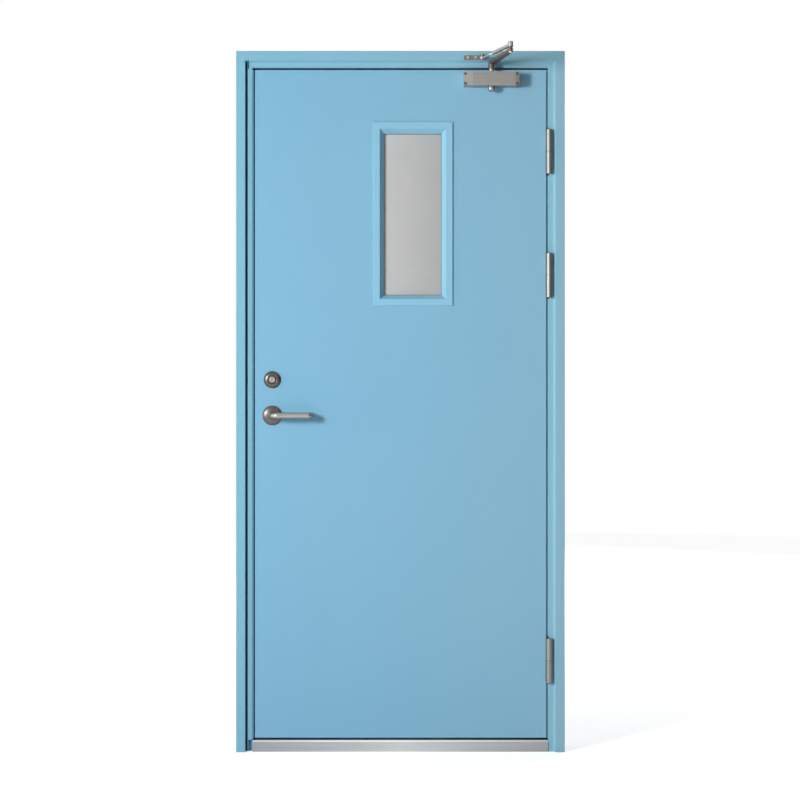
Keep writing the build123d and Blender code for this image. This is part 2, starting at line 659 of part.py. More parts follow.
LEVER_ROOT = LEAF_FRONT - END_GAP
LEVER_AXIS_Y = LEAF_FRONT - LEVER_PROJECTION
with BuildPart() as lever_front:
    with BuildLine(level(LEVER_Z)) as lever_line:
        FilletPolyline(
            (LOCK_X, LEVER_ROOT),
            (LOCK_X, LEVER_AXIS_Y),
            (LOCK_X + LEVER_LENGTH, LEVER_AXIS_Y),
            (LOCK_X + LEVER_LENGTH, LEAF_FRONT - LEVER_TIP_GAP),
            radius=[LEVER_NECK_BEND, LEVER_RETURN_BEND],
        )
    with BuildSketch(facing(LEVER_ROOT)):
        with Locations((LOCK_X, LEVER_Z)):
            Circle(LEVER_RADIUS)
    sweep(path=lever_line.line)
    tip = lever_front.faces().filter_by(GeomType.PLANE).sort_by(Axis.X)[-1]
    chamfer(tip.edges(), EDGE_BREAK)
    with BuildSketch(facing(LEVER_ROOT)):
        with Locations((LOCK_X, LEVER_Z)):
            Rectangle(SPINDLE_SIZE + 2 * SPINDLE_FIT, SPINDLE_SIZE + 2 * SPINDLE_FIT)
    extrude(amount=SPINDLE_REACH, mode=Mode.SUBTRACT)
finish_part(lever_front, "lever_front")

with BuildPart() as lever_back:
    mirror(lever_front.part, about=facing(LEAF_MIDDLE))
finish_part(lever_back, "lever_back")

with BuildPart() as lever_spindle:
    with BuildSketch(facing(LEAF_MIDDLE)):
        with Locations((LOCK_X, LEVER_Z)):
            Rectangle(SPINDLE_SIZE, SPINDLE_SIZE)
    extrude(amount=LEAF_THICKNESS / 2 + SPINDLE_REACH, both=True)
finish_part(lever_spindle, "lever_spindle")

# Key cylinder on the pull side, thumbturn behind
with BuildPart() as cylinder_collar:
    with BuildSketch(facing(LEAF_FRONT)):
        with Locations((LOCK_X, CYLINDER_Z)):
            Circle(COLLAR_RADIUS)
    extrude(amount=COLLAR_BASE)
    collar_rise = COLLAR_HEIGHT - COLLAR_BASE
    collar_slope = degrees(atan((COLLAR_RADIUS - COLLAR_TOP_RADIUS) / collar_rise))
    extrude(cylinder_collar.faces().sort_by(Axis.Y)[0], amount=collar_rise, taper=collar_slope)
    plug_bore = PLUG_RADIUS + PLUG_FIT
    pin_through(
        LOCK_X, CYLINDER_Z, LEAF_FRONT - 2 * COLLAR_HEIGHT, LEAF_FRONT + OVERCUT, plug_bore, Mode.SUBTRACT,
    )
finish_part(cylinder_collar, "cylinder_collar")

with BuildPart() as key_cylinder:
    plug_face = LEAF_FRONT - COLLAR_HEIGHT - PLUG_PROUD
    pin_through(LOCK_X, CYLINDER_Z, plug_face, LEAF_MIDDLE - CASE_WIDTH / 2 - PLUG_FIT, PLUG_RADIUS)
    chamfer(key_cylinder.faces().sort_by(Axis.Y)[0].edges(), FINE_BREAK)
    block(
        (LOCK_X - KEYWAY_WIDTH / 2, plug_face - OVERCUT, CYLINDER_Z - KEYWAY_HEIGHT / 2),
        (LOCK_X + KEYWAY_WIDTH / 2, plug_face + KEYWAY_DEPTH, CYLINDER_Z + KEYWAY_HEIGHT / 2),
        Mode.SUBTRACT,
    )
finish_part(key_cylinder, "key_cylinder")

with BuildPart() as thumbturn_rose:
    pin_through(LOCK_X, CYLINDER_Z, LEAF_BACK, LEAF_BACK + ROSE_THICKNESS, COLLAR_RADIUS)
    chamfer(thumbturn_rose.faces().sort_by(Axis.Y)[-1].edges(), EDGE_BREAK)
finish_part(thumbturn_rose, "thumbturn_rose")

with BuildPart() as thumbturn:
    turn_base = LEAF_BACK + ROSE_THICKNESS
    pin_through(LOCK_X, CYLINDER_Z, turn_base, turn_base + TURN_HEIGHT / 3, TURN_WIDTH * 0.75)
    with BuildSketch(facing(turn_base + TURN_HEIGHT)):
        with Locations((LOCK_X, CYLINDER_Z)):
            SlotOverall(TURN_LENGTH, TURN_WIDTH, rotation=90)
    extrude(amount=TURN_HEIGHT * 2 / 3)
    chamfer(thumbturn.faces().sort_by(Axis.Y)[-1].edges(), EDGE_BREAK)
finish_part(thumbturn, "thumbturn")

# Closer body with its end caps
CLOSER_LEFT = PINION_X - CLOSER_LENGTH / 2
CLOSER_RIGHT = PINION_X + CLOSER_LENGTH / 2
BODY_LEFT = CLOSER_LEFT + CAP_LEFT
BODY_RIGHT = CLOSER_RIGHT - CAP_RIGHT
CLOSER_MIDDLE = (CLOSER_TOP + CLOSER_BASE) / 2


def closer_section(x, inset):
    """Cross-section of the closer, upright at x and drawn in by inset on its open sides."""
    with BuildSketch(Plane.YZ.offset(x)) as section:
        front = LEAF_FRONT - CLOSER_DEPTH + inset
        with Locations(((front + LEAF_FRONT) / 2, CLOSER_MIDDLE)):
            Rectangle(LEAF_FRONT - front, CLOSER_HEIGHT - 2 * inset)
        fillet(section.vertices().group_by(Axis.Y)[0], CLOSER_ROUND)
    return section.sketch


with BuildPart() as closer_body:
    extrude(closer_section(BODY_LEFT, 0), amount=BODY_RIGHT - BODY_LEFT)
    collar_top = CLOSER_TOP + COLLAR_RISE
    post(PINION_X, PINION_Y, CLOSER_TOP, collar_top, PINION_RADIUS + COLLAR_WALL)
    pinion_bore = PINION_RADIUS + PINION_FIT
    post(PINION_X, PINION_Y, CLOSER_TOP - PINION_DEPTH, collar_top + OVERCUT, pinion_bore, Mode.SUBTRACT)
finish_part(closer_body, "closer_body")

# Each cap has two deep bores for the screws that hold the closer on the leaf
CAP_BORE_RISE = CLOSER_HEIGHT / 2 - CAP_INSET - CAP_BORE_EDGE
CAP_BORE_END = LEAF_FRONT - CAP_BORE_FLOOR
for cap_name, cap_low, cap_high, bore_x in (
    ("closer_cap_left", CLOSER_LEFT, BODY_LEFT, CLOSER_LEFT + CAP_BORE_EDGE),
    ("closer_cap_right", BODY_RIGHT, CLOSER_RIGHT, CLOSER_RIGHT - CAP_BORE_EDGE),
):
    with BuildPart() as closer_cap:
        extrude(closer_section(cap_low, CAP_INSET), amount=cap_high - cap_low)
        for bore_z in (CLOSER_MIDDLE - CAP_BORE_RISE, CLOSER_MIDDLE + CAP_BORE_RISE):
            pin_through(
                bore_x, bore_z, CAP_BORE_END - CLOSER_DEPTH, CAP_BORE_END, CAP_BORE_RADIUS, Mode.SUBTRACT,
            )
    finish_part(closer_cap, cap_name)

with BuildPart() as closer_dome:
    dome_plane = Plane(origin=(PINION_X, PINION_Y, CLOSER_BASE), x_dir=(1, 0, 0), z_dir=(0, -1, 0))
    with BuildSketch(dome_plane):
        with BuildLine():
            Polyline(
                (0, 0),
                (DOME_RADIUS, 0),
                (DOME_RADIUS, -0.4 * DOME_HEIGHT),
                (0.8 * DOME_RADIUS, -0.76 * DOME_HEIGHT),
                (0.45 * DOME_RADIUS, -DOME_HEIGHT),
                (0, -DOME_HEIGHT),
                close=True,
            )
        make_face()
    revolve(axis=Axis((PINION_X, PINION_Y, CLOSER_BASE), (0, 0, 1)))
finish_part(closer_dome, "closer_dome")

# Main arm on the pinion, carrying its half of the elbow
with BuildPart() as closer_pinion:
    post(PINION_X, PINION_Y, CLOSER_TOP - PINION_DEPTH + END_GAP, HUB_BASE, PINION_RADIUS)
finish_part(closer_pinion, "closer_pinion")

with BuildPart() as closer_main_arm:
    with BuildSketch(level(HUB_TOP - ARM_THICKNESS)):
        with Locations((PINION_X, PINION_Y)):
            Circle(HUB_RADIUS)
        with Locations((ELBOW_X, ELBOW_Y)):
            Circle(ARM_TIP_RADIUS)
        make_hull()
    extrude(amount=ARM_THICKNESS)
    chamfer(closer_main_arm.faces().sort_by(Axis.Z)[-1].edges(), ARM_BREAK)
    post(PINION_X, PINION_Y, HUB_BASE, HUB_TOP - ARM_THICKNESS, HUB_RADIUS)
    post(ELBOW_X, ELBOW_Y, HUB_TOP, ELBOW_TOP, ARM_TIP_RADIUS - ARM_BREAK)
finish_part(closer_main_arm, "closer_main_arm")

# Forearm, a sleeve from the elbow with a rod that runs on to the shoe
FOREARM_DX = SHOE_X - ELBOW_X
FOREARM_DY = SHOE_Y - ELBOW_Y
FOREARM_SPAN = Vector(FOREARM_DX, FOREARM_DY).length
ALONG = (FOREARM_DX / FOREARM_SPAN, FOREARM_DY / FOREARM_SPAN, 0)


def along_forearm(distance):
    """Plane across the forearm at a distance from the elbow."""
    origin = (ELBOW_X + ALONG[0] * distance, ELBOW_Y + ALONG[1] * distance, FOREARM_MIDDLE)
    return Plane(origin=origin, x_dir=(-ALONG[1], ALONG[0], 0), z_dir=ALONG)


with BuildPart() as closer_forearm:
    post(ELBOW_X, ELBOW_Y, FOREARM_BASE, FOREARM_TOP + KNOB_HEIGHT, ARM_TIP_RADIUS)
    chamfer(closer_forearm.faces().sort_by(Axis.Z)[-1].edges(), KNOB_BREAK)
    with BuildSketch(along_forearm(0)):
        Rectangle(SLEEVE_WIDTH, FOREARM_THICKNESS)
    extrude(amount=FOREARM_SLEEVE)
    with BuildSketch(along_forearm(FOREARM_SLEEVE)):
        Circle(ROD_RADIUS + ROD_FIT)
    extrude(amount=-ROD_OVERLAP, mode=Mode.SUBTRACT)
finish_part(closer_forearm, "closer_forearm")

with BuildPart() as closer_rod:
    with BuildSketch(along_forearm(FOREARM_SLEEVE - ROD_OVERLAP + END_GAP)):
        Circle(ROD_RADIUS)
    extrude(amount=FOREARM_SPAN - FOREARM_SLEEVE + ROD_OVERLAP - END_GAP)
    post(SHOE_X, SHOE_Y, FOREARM_BASE, FOREARM_TOP, EYE_RADIUS)
    eye_bore = SHOE_PIN_RADIUS + SHOE_PIN_FIT
    post(SHOE_X, SHOE_Y, FOREARM_BASE - OVERCUT, FOREARM_TOP + OVERCUT, eye_bore, Mode.SUBTRACT)
finish_part(closer_rod, "closer_rod")

# Shoe on the frame head, with a tongue over the rod eye and a pin down through it
with BuildPart() as closer_shoe:
    block(
        (SHOE_X + EYE_RADIUS - SHOE_LENGTH, FRONT - SHOE_THICKNESS, TONGUE_TOP - SHOE_HEIGHT),
        (SHOE_X + EYE_RADIUS, FRONT, TONGUE_TOP),
    )
    fillet(closer_shoe.edges().filter_by(Axis.Y), SHOE_ROUND)
    block(
        (SHOE_X - EYE_RADIUS, SHOE_Y, TONGUE_BASE),
        (SHOE_X + EYE_RADIUS, FRONT, TONGUE_TOP),
    )
    post(SHOE_X, SHOE_Y, TONGUE_BASE, TONGUE_TOP, EYE_RADIUS)
    post(SHOE_X, SHOE_Y, FOREARM_BASE - SHOE_PIN_TAIL, TONGUE_BASE, SHOE_PIN_RADIUS)
finish_part(closer_shoe, "closer_shoe")
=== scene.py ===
import json
import math

import bmesh
import bpy
from mathutils import Matrix, Vector


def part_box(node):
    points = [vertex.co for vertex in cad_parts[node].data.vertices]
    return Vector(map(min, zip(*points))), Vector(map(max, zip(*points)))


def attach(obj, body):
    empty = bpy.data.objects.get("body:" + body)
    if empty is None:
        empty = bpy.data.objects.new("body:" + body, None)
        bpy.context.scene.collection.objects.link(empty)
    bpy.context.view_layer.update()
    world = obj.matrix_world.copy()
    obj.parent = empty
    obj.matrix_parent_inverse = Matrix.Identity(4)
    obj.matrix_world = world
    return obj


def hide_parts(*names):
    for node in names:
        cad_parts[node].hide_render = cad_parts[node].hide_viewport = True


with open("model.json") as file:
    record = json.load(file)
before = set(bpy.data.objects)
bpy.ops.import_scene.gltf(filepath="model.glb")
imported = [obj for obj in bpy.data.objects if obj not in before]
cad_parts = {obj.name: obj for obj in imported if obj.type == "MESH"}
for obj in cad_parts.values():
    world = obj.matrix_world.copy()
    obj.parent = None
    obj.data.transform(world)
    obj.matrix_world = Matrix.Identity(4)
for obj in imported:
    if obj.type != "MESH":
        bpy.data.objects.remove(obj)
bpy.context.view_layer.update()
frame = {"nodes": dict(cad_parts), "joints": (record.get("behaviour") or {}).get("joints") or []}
nodes = frame["nodes"]
scene = bpy.context.scene

# Lengths are in metres. X runs to the right, Y away from the pull side, Z up.
MM = 0.001
UP = (0, 0, 1)
DOWN = (0, 0, -1)
TO_FRONT = (0, -1, 0)
TO_BACK = (0, 1, 0)
TO_RIGHT = (1, 0, 0)

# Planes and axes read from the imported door
FACE_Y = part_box("lock_jamb")[0].y
LEAF_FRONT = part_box("leaf_front_skin")[0].y
LEAF_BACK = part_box("leaf_back_skin")[1].y
LEAF_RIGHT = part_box("leaf_front_skin")[1].x
LEAF_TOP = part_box("leaf_front_skin")[1].z
LEAF_MIDDLE = (LEAF_FRONT + LEAF_BACK) / 2
SILL_LOW, SILL_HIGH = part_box("sill")
SILL_FIT = 0.3 * MM
REBATE = SILL_HIGH.x + SILL_FIT
PANE_LOW, PANE_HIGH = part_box("vision_glass")
JOINT_PLACES = {joint["name"]: Vector(joint["pos_m"]) for joint in frame["joints"]}


def centre_of(node):
    """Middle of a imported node's box."""
    low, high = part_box(node)
    return (low + high) / 2


# Camera, straight in front of the door
VIEW_DISTANCE = 5.4
VIEW_WIDTH = 2.4325
VIEW_SIDE = -1.2 * MM
VIEW_HEIGHT = 1.0713

camera_data = bpy.data.cameras.new("camera")
camera_data.angle = 2 * math.atan(VIEW_WIDTH / 2 / VIEW_DISTANCE)
camera = bpy.data.objects.new("camera", camera_data)
camera.location = (VIEW_SIDE, FACE_Y - VIEW_DISTANCE, VIEW_HEIGHT)
camera.rotation_euler = (math.pi / 2, 0, 0)
scene.collection.objects.link(camera)
scene.camera = camera
scene.view_settings.view_transform = "Standard"

# Soft light: a panel on the left in front, weaker ones beside and behind, and a pale fill that
# fades to the right
AIM = Vector((0.0, 0.0, 1.15))
KEY_AIM = Vector((5.4, -1.95, 0.25))
FILL_COLOUR = (0.97, 0.985, 1.0, 1)
FILL_LEFT = 0.38
FILL_RIGHT = 0.02


def soft_panel(name, place, size, level, aim=AIM):
    """Area lamp turned to a point.

    Turned to AIM, a white surface there that faces the front gets about as bright as level.
    """
    away = AIM - place
    slant = abs(away.normalized().y)
    data = bpy.data.lights.new(name, "AREA")
    data.shape = "RECTANGLE"
    data.size, data.size_y = size
    data.energy = level * math.pi ** 2 * away.length_squared / slant
    lamp = bpy.data.objects.new(name, data)
    lamp.location = place
    lamp.rotation_euler = (aim - place).to_track_quat("-Z", "Y").to_euler()
    lamp.visible_camera = False
    scene.collection.objects.link(lamp)


soft_panel("key_panel", Vector((-2.6, -3.45, 1.85)), (0.8, 0.9), 0.755, KEY_AIM)
soft_panel("side_panel", Vector((-3.2, -1.1, 1.4)), (0.6, 2.2), 0.04)
soft_panel("back_panel", Vector((3.6, 5.6, 2.6)), (1.6, 2.4), 0.55)

# Rays that show the surrounding and the floor as they look; the others only carry soft light
DIRECT_RAYS = ("Is Camera Ray", "Is Glossy Ray", "Is Transmission Ray")


def seen_directly(tree):
    """Socket that is 1 on the direct rays and 0 on the others."""
    path = tree.nodes.new("ShaderNodeLightPath")
    total = path.outputs[DIRECT_RAYS[0]]
    for kind in DIRECT_RAYS[1:]:
        larger = tree.nodes.new("ShaderNodeMath")
        larger.operation = "MAXIMUM"
        tree.links.new(total, larger.inputs[0])
        tree.links.new(path.outputs[kind], larger.inputs[1])
        total = larger.outputs[0]
    return total


def two_faced(tree, soft, direct, output_kind):
    """End a node tree with one shader for soft light and another for the direct rays."""
    mix = tree.nodes.new("ShaderNodeMixShader")
    output = tree.nodes.new(output_kind)
    tree.links.new(seen_directly(tree), mix.inputs[0])
    tree.links.new(soft.outputs[0], mix.inputs[1])
    tree.links.new(direct.outputs[0], mix.inputs[2])
    tree.links.new(mix.outputs[0], output.inputs["Surface"])


def build_world():
    """Fill light that fades to the right, white where it is seen directly."""
    world = bpy.data.worlds.new("studio")
    world.use_nodes = True
    tree = world.node_tree
    tree.nodes.clear()
    way = tree.nodes.new("ShaderNodeTexCoord").outputs["Generated"]
    split = tree.nodes.new("ShaderNodeSeparateXYZ")
    tree.links.new(way, split.inputs[0])
    sides = tree.nodes.new("ShaderNodeMapRange")
    sides.inputs["From Min"].default_value = -1
    sides.inputs["To Min"].default_value = FILL_LEFT
    sides.inputs["To Max"].default_value = FILL_RIGHT
    tree.links.new(split.outputs["X"], sides.inputs["Value"])
    fill = tree.nodes.new("ShaderNodeBackground")
    fill.inputs["Color"].default_value = FILL_COLOUR
    tree.links.new(sides.outputs[0], fill.inputs["Strength"])
    white = tree.nodes.new("ShaderNodeBackground")
    white.inputs["Color"].default_value = (1, 1, 1, 1)
    two_faced(tree, fill, white, "ShaderNodeOutputWorld")
    scene.world = world


def stage_object(name, mesh, material_name):
    """Object for the stage, and the node tree, still empty, of its material."""
    made = bpy.data.objects.new(name, mesh)
    scene.collection.objects.link(made)
    material = bpy.data.materials.new(material_name)
    material.use_nodes = True
    material.node_tree.nodes.clear()
    mesh.materials.append(material)
    return made, material.node_tree


# A grey screen on the right, which only the gloss of metal shows
SCREEN_X = 4.0
SCREEN_NEAR = -5.0
SCREEN_FAR = 3.0
SCREEN_TOP = 5.0
SCREEN_TONE = 0.16


def build_screen():
    """Upright screen beside the door, on the side away from the key panel."""
    mesh = bpy.data.meshes.new("side_screen")
    near = [(SCREEN_X, SCREEN_NEAR, 0), (SCREEN_X, SCREEN_NEAR, SCREEN_TOP)]
    far = [(SCREEN_X, SCREEN_FAR, 0), (SCREEN_X, SCREEN_FAR, SCREEN_TOP)]
    mesh.from_pydata([near[0], far[0], far[1], near[1]], [], [(0, 1, 2, 3)])
    screen, tree = stage_object("side_screen", mesh, "grey_screen")
    tone = tree.nodes.new("ShaderNodeEmission")
    tone.inputs["Strength"].default_value = SCREEN_TONE
    output = tree.nodes.new("ShaderNodeOutputMaterial")
    tree.links.new(tone.outputs[0], output.inputs["Surface"])
    screen.visible_camera = False
    screen.visible_diffuse = False
    screen.visible_transmission = False
    screen.visible_shadow = False


# A pale floor, whose glow rises from near to far over a reach of distances from the door
FLOOR_RADIUS = 9.0
FLOOR_TONE = (0.8, 0.8, 0.8, 1)
GLOW_NEAR = 0.58
GLOW_FAR = 0.80
GLOW_REACH = (1.2, 3.5)


def build_floor():
    """Floor that turns to plain white away from the door and keeps its shadow."""
    mesh = bpy.data.meshes.new("floor")
    shape = bmesh.new()
    bmesh.ops.create_circle(shape, cap_ends=True, segments=64, radius=FLOOR_RADIUS)
    shape.to_mesh(mesh)
    shape.free()
    floor, tree = stage_object("floor", mesh, "pale_floor")
    matt = tree.nodes.new("ShaderNodeBsdfDiffuse")
    matt.inputs["Color"].default_value = FLOOR_TONE
    reach = tree.nodes.new("ShaderNodeVectorMath")
    reach.operation = "LENGTH"
    place = tree.nodes.new("ShaderNodeTexCoord").outputs["Object"]
    tree.links.new(place, reach.inputs[0])
    rise = tree.nodes.new("ShaderNodeMapRange")
    rise.inputs["From Min"].default_value, rise.inputs["From Max"].default_value = GLOW_REACH
    rise.inputs["To Min"].default_value = GLOW_NEAR
    rise.inputs["To Max"].default_value = GLOW_FAR
    tree.links.new(reach.outputs["Value"], rise.inputs["Value"])
    glow = tree.nodes.new("ShaderNodeEmission")
    tree.links.new(rise.outputs[0], glow.inputs["Strength"])
    glowing = tree.nodes.new("ShaderNodeAddShader")
    tree.links.new(matt.outputs[0], glowing.inputs[0])
    tree.links.new(glow.outputs[0], glowing.inputs[1])
    two_faced(tree, matt, glowing, "ShaderNodeOutputMaterial")


build_world()
build_screen()
build_floor()


class Finish:
    """A material being made: one Principled shader fed from the piece's own coordinates."""

    def __init__(self, name, roughness, metallic=0.0, specular=0.5):
        self.material = bpy.data.materials.new(name)
        self.material.use_nodes = True
        self.tree = self.material.node_tree
        self.shader = self.tree.nodes["Principled BSDF"]
        self.shader.inputs["Roughness"].default_value = roughness
        self.shader.inputs["Metallic"].default_value = metallic
        self.shader.inputs["Specular IOR Level"].default_value = specular
        self.place = self.node("ShaderNodeTexCoord").outputs["Object"]
        self.normal = None

    def node(self, kind, **values):
        """New node, with its sockets set by name."""
        made = self.tree.nodes.new(kind)
        for socket, value in values.items():
            made.inputs[socket.replace("_", " ")].default_value = value
        return made

    def link(self, source, target):
        """Feed one socket from another."""
        self.tree.links.new(source, target)

    def maths(self, kind, operation, *terms):
        """New maths node; each term is a socket to link or a value to set."""
        made = self.node(kind)
        made.operation = operation
        for socket, term in zip(made.inputs, terms):
            if isinstance(term, bpy.types.NodeSocket):
                self.link(term, socket)
            else:
                socket.default_value = term
        return made

    def across(self, low, high):
        """Field that rises from 0 to 1 between two places along X."""
        split = self.node("ShaderNodeSeparateXYZ")
        self.link(self.place, split.inputs[0])
        return self.spread(split.outputs["X"], 0, 1, low, high)

    def average(self, first, second):
        """Mean of two fields."""
        total = self.maths("ShaderNodeMath", "ADD", first, second).outputs[0]
        return self.maths("ShaderNodeMath", "MULTIPLY", total, 0.5).outputs[0]

    def stretched(self, scale):
        """Coordinates scaled differently along each axis."""
        mapping = self.node("ShaderNodeMapping", Scale=scale)
        self.link(self.place, mapping.inputs["Vector"])
        return mapping.outputs[0]

    def noise(self, scale, detail=2.0, roughness=0.5, vector=None):
        """Soft random field from 0 to 1, features about 1/scale metres apart."""
        made = self.node("ShaderNodeTexNoise", Scale=scale, Detail=detail, Roughness=roughness)
        self.link(vector or self.place, made.inputs["Vector"])
        return made.outputs["Fac"]

    def ring_noise(self, centre, scale, detail):
        """Random rings about a level axis through centre, front to back."""
        offset = self.maths("ShaderNodeVectorMath", "SUBTRACT", self.place, centre).outputs[0]
        flat = self.maths("ShaderNodeVectorMath", "MULTIPLY", offset, (1, 0, 1)).outputs[0]
        length = self.maths("ShaderNodeVectorMath", "LENGTH", flat).outputs["Value"]
        made = self.node("ShaderNodeTexNoise", Scale=scale, Detail=detail)
        made.noise_dimensions = "1D"
        self.link(length, made.inputs["W"])
        return made.outputs["Fac"]

    def spread(self, source, low, high, start=0.3, end=0.7):
        """Map a field from start..end to low..high."""
        limits = {"From_Min": start, "From_Max": end, "To_Min": low, "To_Max": high}
        made = self.node("ShaderNodeMapRange", **limits)
        self.link(source, made.inputs["Value"])
        return made.outputs[0]

    def blend(self, source, stops):
        """Colour ramp of (position, colour) stops over a field."""
        made = self.node("ShaderNodeValToRGB")
        ramp = made.color_ramp
        while len(ramp.elements) < len(stops):
            ramp.elements.new(0.5)
        for element, (position, colour) in zip(ramp.elements, stops):
            element.position = position
            element.color = (*colour, 1)
        self.link(source, made.inputs["Fac"])
        return made.outputs["Color"]

    def tinted(self, colour, field):
        """Multiply one colour socket by another."""
        mix = self.node("ShaderNodeMix")
        mix.data_type = "RGBA"
        mix.blend_type = "MULTIPLY"
        mix.inputs["Factor"].default_value = 1.0
        self.link(colour, mix.inputs["A"])
        self.link(field, mix.inputs["B"])
        return mix.outputs["Result"]

    def colour(self, source):
        """Feed the shader's colour."""
        self.link(source, self.shader.inputs["Base Color"])

    def roughen(self, source, low, high):
        """Let a field vary the roughness from low to high."""
        self.link(self.spread(source, low, high), self.shader.inputs["Roughness"])

    def bump(self, source, height, strength):
        """Relief of a field, height in metres, laid over any relief before it."""
        made = self.node("ShaderNodeBump", Strength=strength, Distance=height)
        self.link(source, made.inputs["Height"])
        if self.normal:
            self.link(self.normal, made.inputs["Normal"])
        self.normal = made.outputs[0]
        self.link(self.normal, self.shader.inputs["Normal"])

    def around(self, axis, amount):
        """Anisotropic gloss around an axis of the piece."""
        self.shader.inputs["Anisotropic"].default_value = amount
        self.shader.inputs["Anisotropic Rotation"].default_value = 0.25
        tangent = self.node("ShaderNodeTangent")
        tangent.direction_type = "RADIAL"
        tangent.axis = axis
        self.link(tangent.outputs[0], self.shader.inputs["Tangent"])


def grey(level):
    """Neutral colour."""
    return (level, level, level)


def tone(colour, factors):
    """Colour with each channel scaled by its own factor."""
    return tuple(channel * factor for channel, factor in zip(colour, factors))


def shade(colour, factor):
    """Colour made lighter or darker by a factor."""
    return tone(colour, grey(factor))


WHITE = grey(1)

# Painted light over the door's width, as factors on the paint's colour: a little darker on the
# left, lighter and warmer on the right where the lamp's light is weaker
DOOR_SIDES = (-0.5, 0.5)
LEFT_PAINTED_SHADE = (0.96, 0.99, 1.01)
RIGHT_PAINTED_LIGHT = (1.13, 1.03, 0.99)

# How fast the lines of brushed metal change along each axis
LINES_X = (5, 700, 700)
LINES_Z = (700, 700, 6)
LINES_SILL = (3, 520, 420)
LINES_CLOSER = (3, 330, 330)
LINES_SCREW = (400, 400, 400)
FIBRES = (90, 90, 30)


def paint(name, colour, roughness):
    """Sprayed satin enamel: slow random drifts of tone mixed with painted light that rises to the
    right, faint dust, and a fine orange-peel skin.
    """
    finish = Finish(name, roughness, specular=0.14)
    cloud = finish.noise(1.3, detail=3.0, roughness=0.55)
    # Random tone averaged with a rise along X: painted light on the door's right side
    tone_and_painted_light = finish.average(cloud, finish.across(*DOOR_SIDES))
    base = finish.blend(tone_and_painted_light, [(0.3, tone(colour, LEFT_PAINTED_SHADE)), (0.72, tone(colour, RIGHT_PAINTED_LIGHT))])
    specks = finish.noise(420.0, roughness=0.6)
    dust = finish.blend(specks, [(0.28, (0.965, 0.97, 0.975)), (0.5, WHITE)])
    finish.colour(finish.tinted(base, dust))
    finish.roughen(finish.noise(9.0, detail=3.0), roughness - 0.05, roughness + 0.07)
    finish.bump(finish.noise(260.0, roughness=0.45), 0.25 * MM, strength=0.22)
    finish.bump(finish.noise(14.0, detail=1.0), 1.2 * MM, strength=0.05)
    return finish.material


def brushed(name, colour, roughness, grain, contrast, relief=0.12, metallic=1.0):
    """Metal with fine scratches; grain is how fast it changes along each axis."""
    finish = Finish(name, roughness, metallic=metallic)
    lines = finish.noise(1.0, detail=4.0, roughness=0.65, vector=finish.stretched(grain))
    base = finish.blend(lines, [
        (0.25, shade(colour, 1 - contrast)),
        (0.5, colour),
        (0.78, shade(colour, 1 + contrast)),
    ])
    smudge = finish.noise(22.0, detail=3.0)
    veil = finish.blend(smudge, [(0.3, (0.93, 0.92, 0.91)), (0.7, WHITE)])
    finish.colour(finish.tinted(base, veil))
    finish.roughen(lines, roughness - 0.06, roughness + 0.08)
    finish.bump(lines, 0.08 * MM, relief)
    return finish.material


def extruded(name, colour, roughness, contrast):
    """Lacquered metal with lines along X, for the closer's body and caps."""
    return brushed(name, colour, roughness, LINES_CLOSER, contrast, relief=0.2, metallic=0.3)


def sheen_painted_steel(name, ends, middle, roughness):
    """Steel brushed along X, its colour lighter towards the middle as a painted highlight and
    darker towards the ends.
    """
    finish = Finish(name, roughness, metallic=1.0)
    path = finish.across(SILL_LOW.x, SILL_HIGH.x)
    quarter = shade(ends, 1.3)
    # Painted highlight: the colour rises from the ends to the middle of the sill's length
    base = finish.blend(path, [
        (0.0, ends),
        (0.25, quarter),
        (0.5, middle),
        (0.75, quarter),
        (1.0, ends),
    ])
    lines = finish.noise(1.0, detail=4.0, roughness=0.65, vector=finish.stretched(LINES_SILL))
    streaks = finish.blend(lines, [(0.25, grey(0.84)), (0.75, grey(1.1))])
    finish.colour(finish.tinted(base, streaks))
    finish.roughen(lines, roughness - 0.06, roughness + 0.08)
    finish.bump(lines, 0.08 * MM, strength=0.12)
    return finish.material


def turned(name, colour, roughness, centre, anisotropy):
    """Metal brushed in circles about a level axis."""
    finish = Finish(name, roughness, metallic=1.0)
    rings = finish.ring_noise(centre, 1500.0, detail=3.0)
    base = finish.blend(rings, [(0.25, shade(colour, 0.78)), (0.75, shade(colour, 1.2))])
    smudge = finish.noise(60.0, detail=3.0)
    veil = finish.blend(smudge, [(0.3, (0.9, 0.88, 0.87)), (0.7, WHITE)])
    finish.colour(finish.tinted(base, veil))
    finish.roughen(rings, roughness - 0.05, roughness + 0.08)
    finish.bump(rings, 0.05 * MM, strength=0.12)
    finish.around("Y", anisotropy)
    return finish.material


def cast_metal(name, colour, roughness, metallic):
    """Sprayed or blasted metal with a fine grain and worn tones."""
    finish = Finish(name, roughness, metallic=metallic)
    grain = finish.noise(700.0, detail=3.0, roughness=0.6)
    base = finish.blend(grain, [(0.3, shade(colour, 0.85)), (0.7, shade(colour, 1.12))])
    wear = finish.noise(45.0, detail=4.0, roughness=0.6)
    veil = finish.blend(wear, [(0.32, (0.86, 0.84, 0.82)), (0.6, WHITE)])
    finish.colour(finish.tinted(base, veil))
    finish.roughen(wear, roughness - 0.08, roughness + 0.1)
    finish.bump(grain, 0.12 * MM, strength=0.25)
    return finish.material


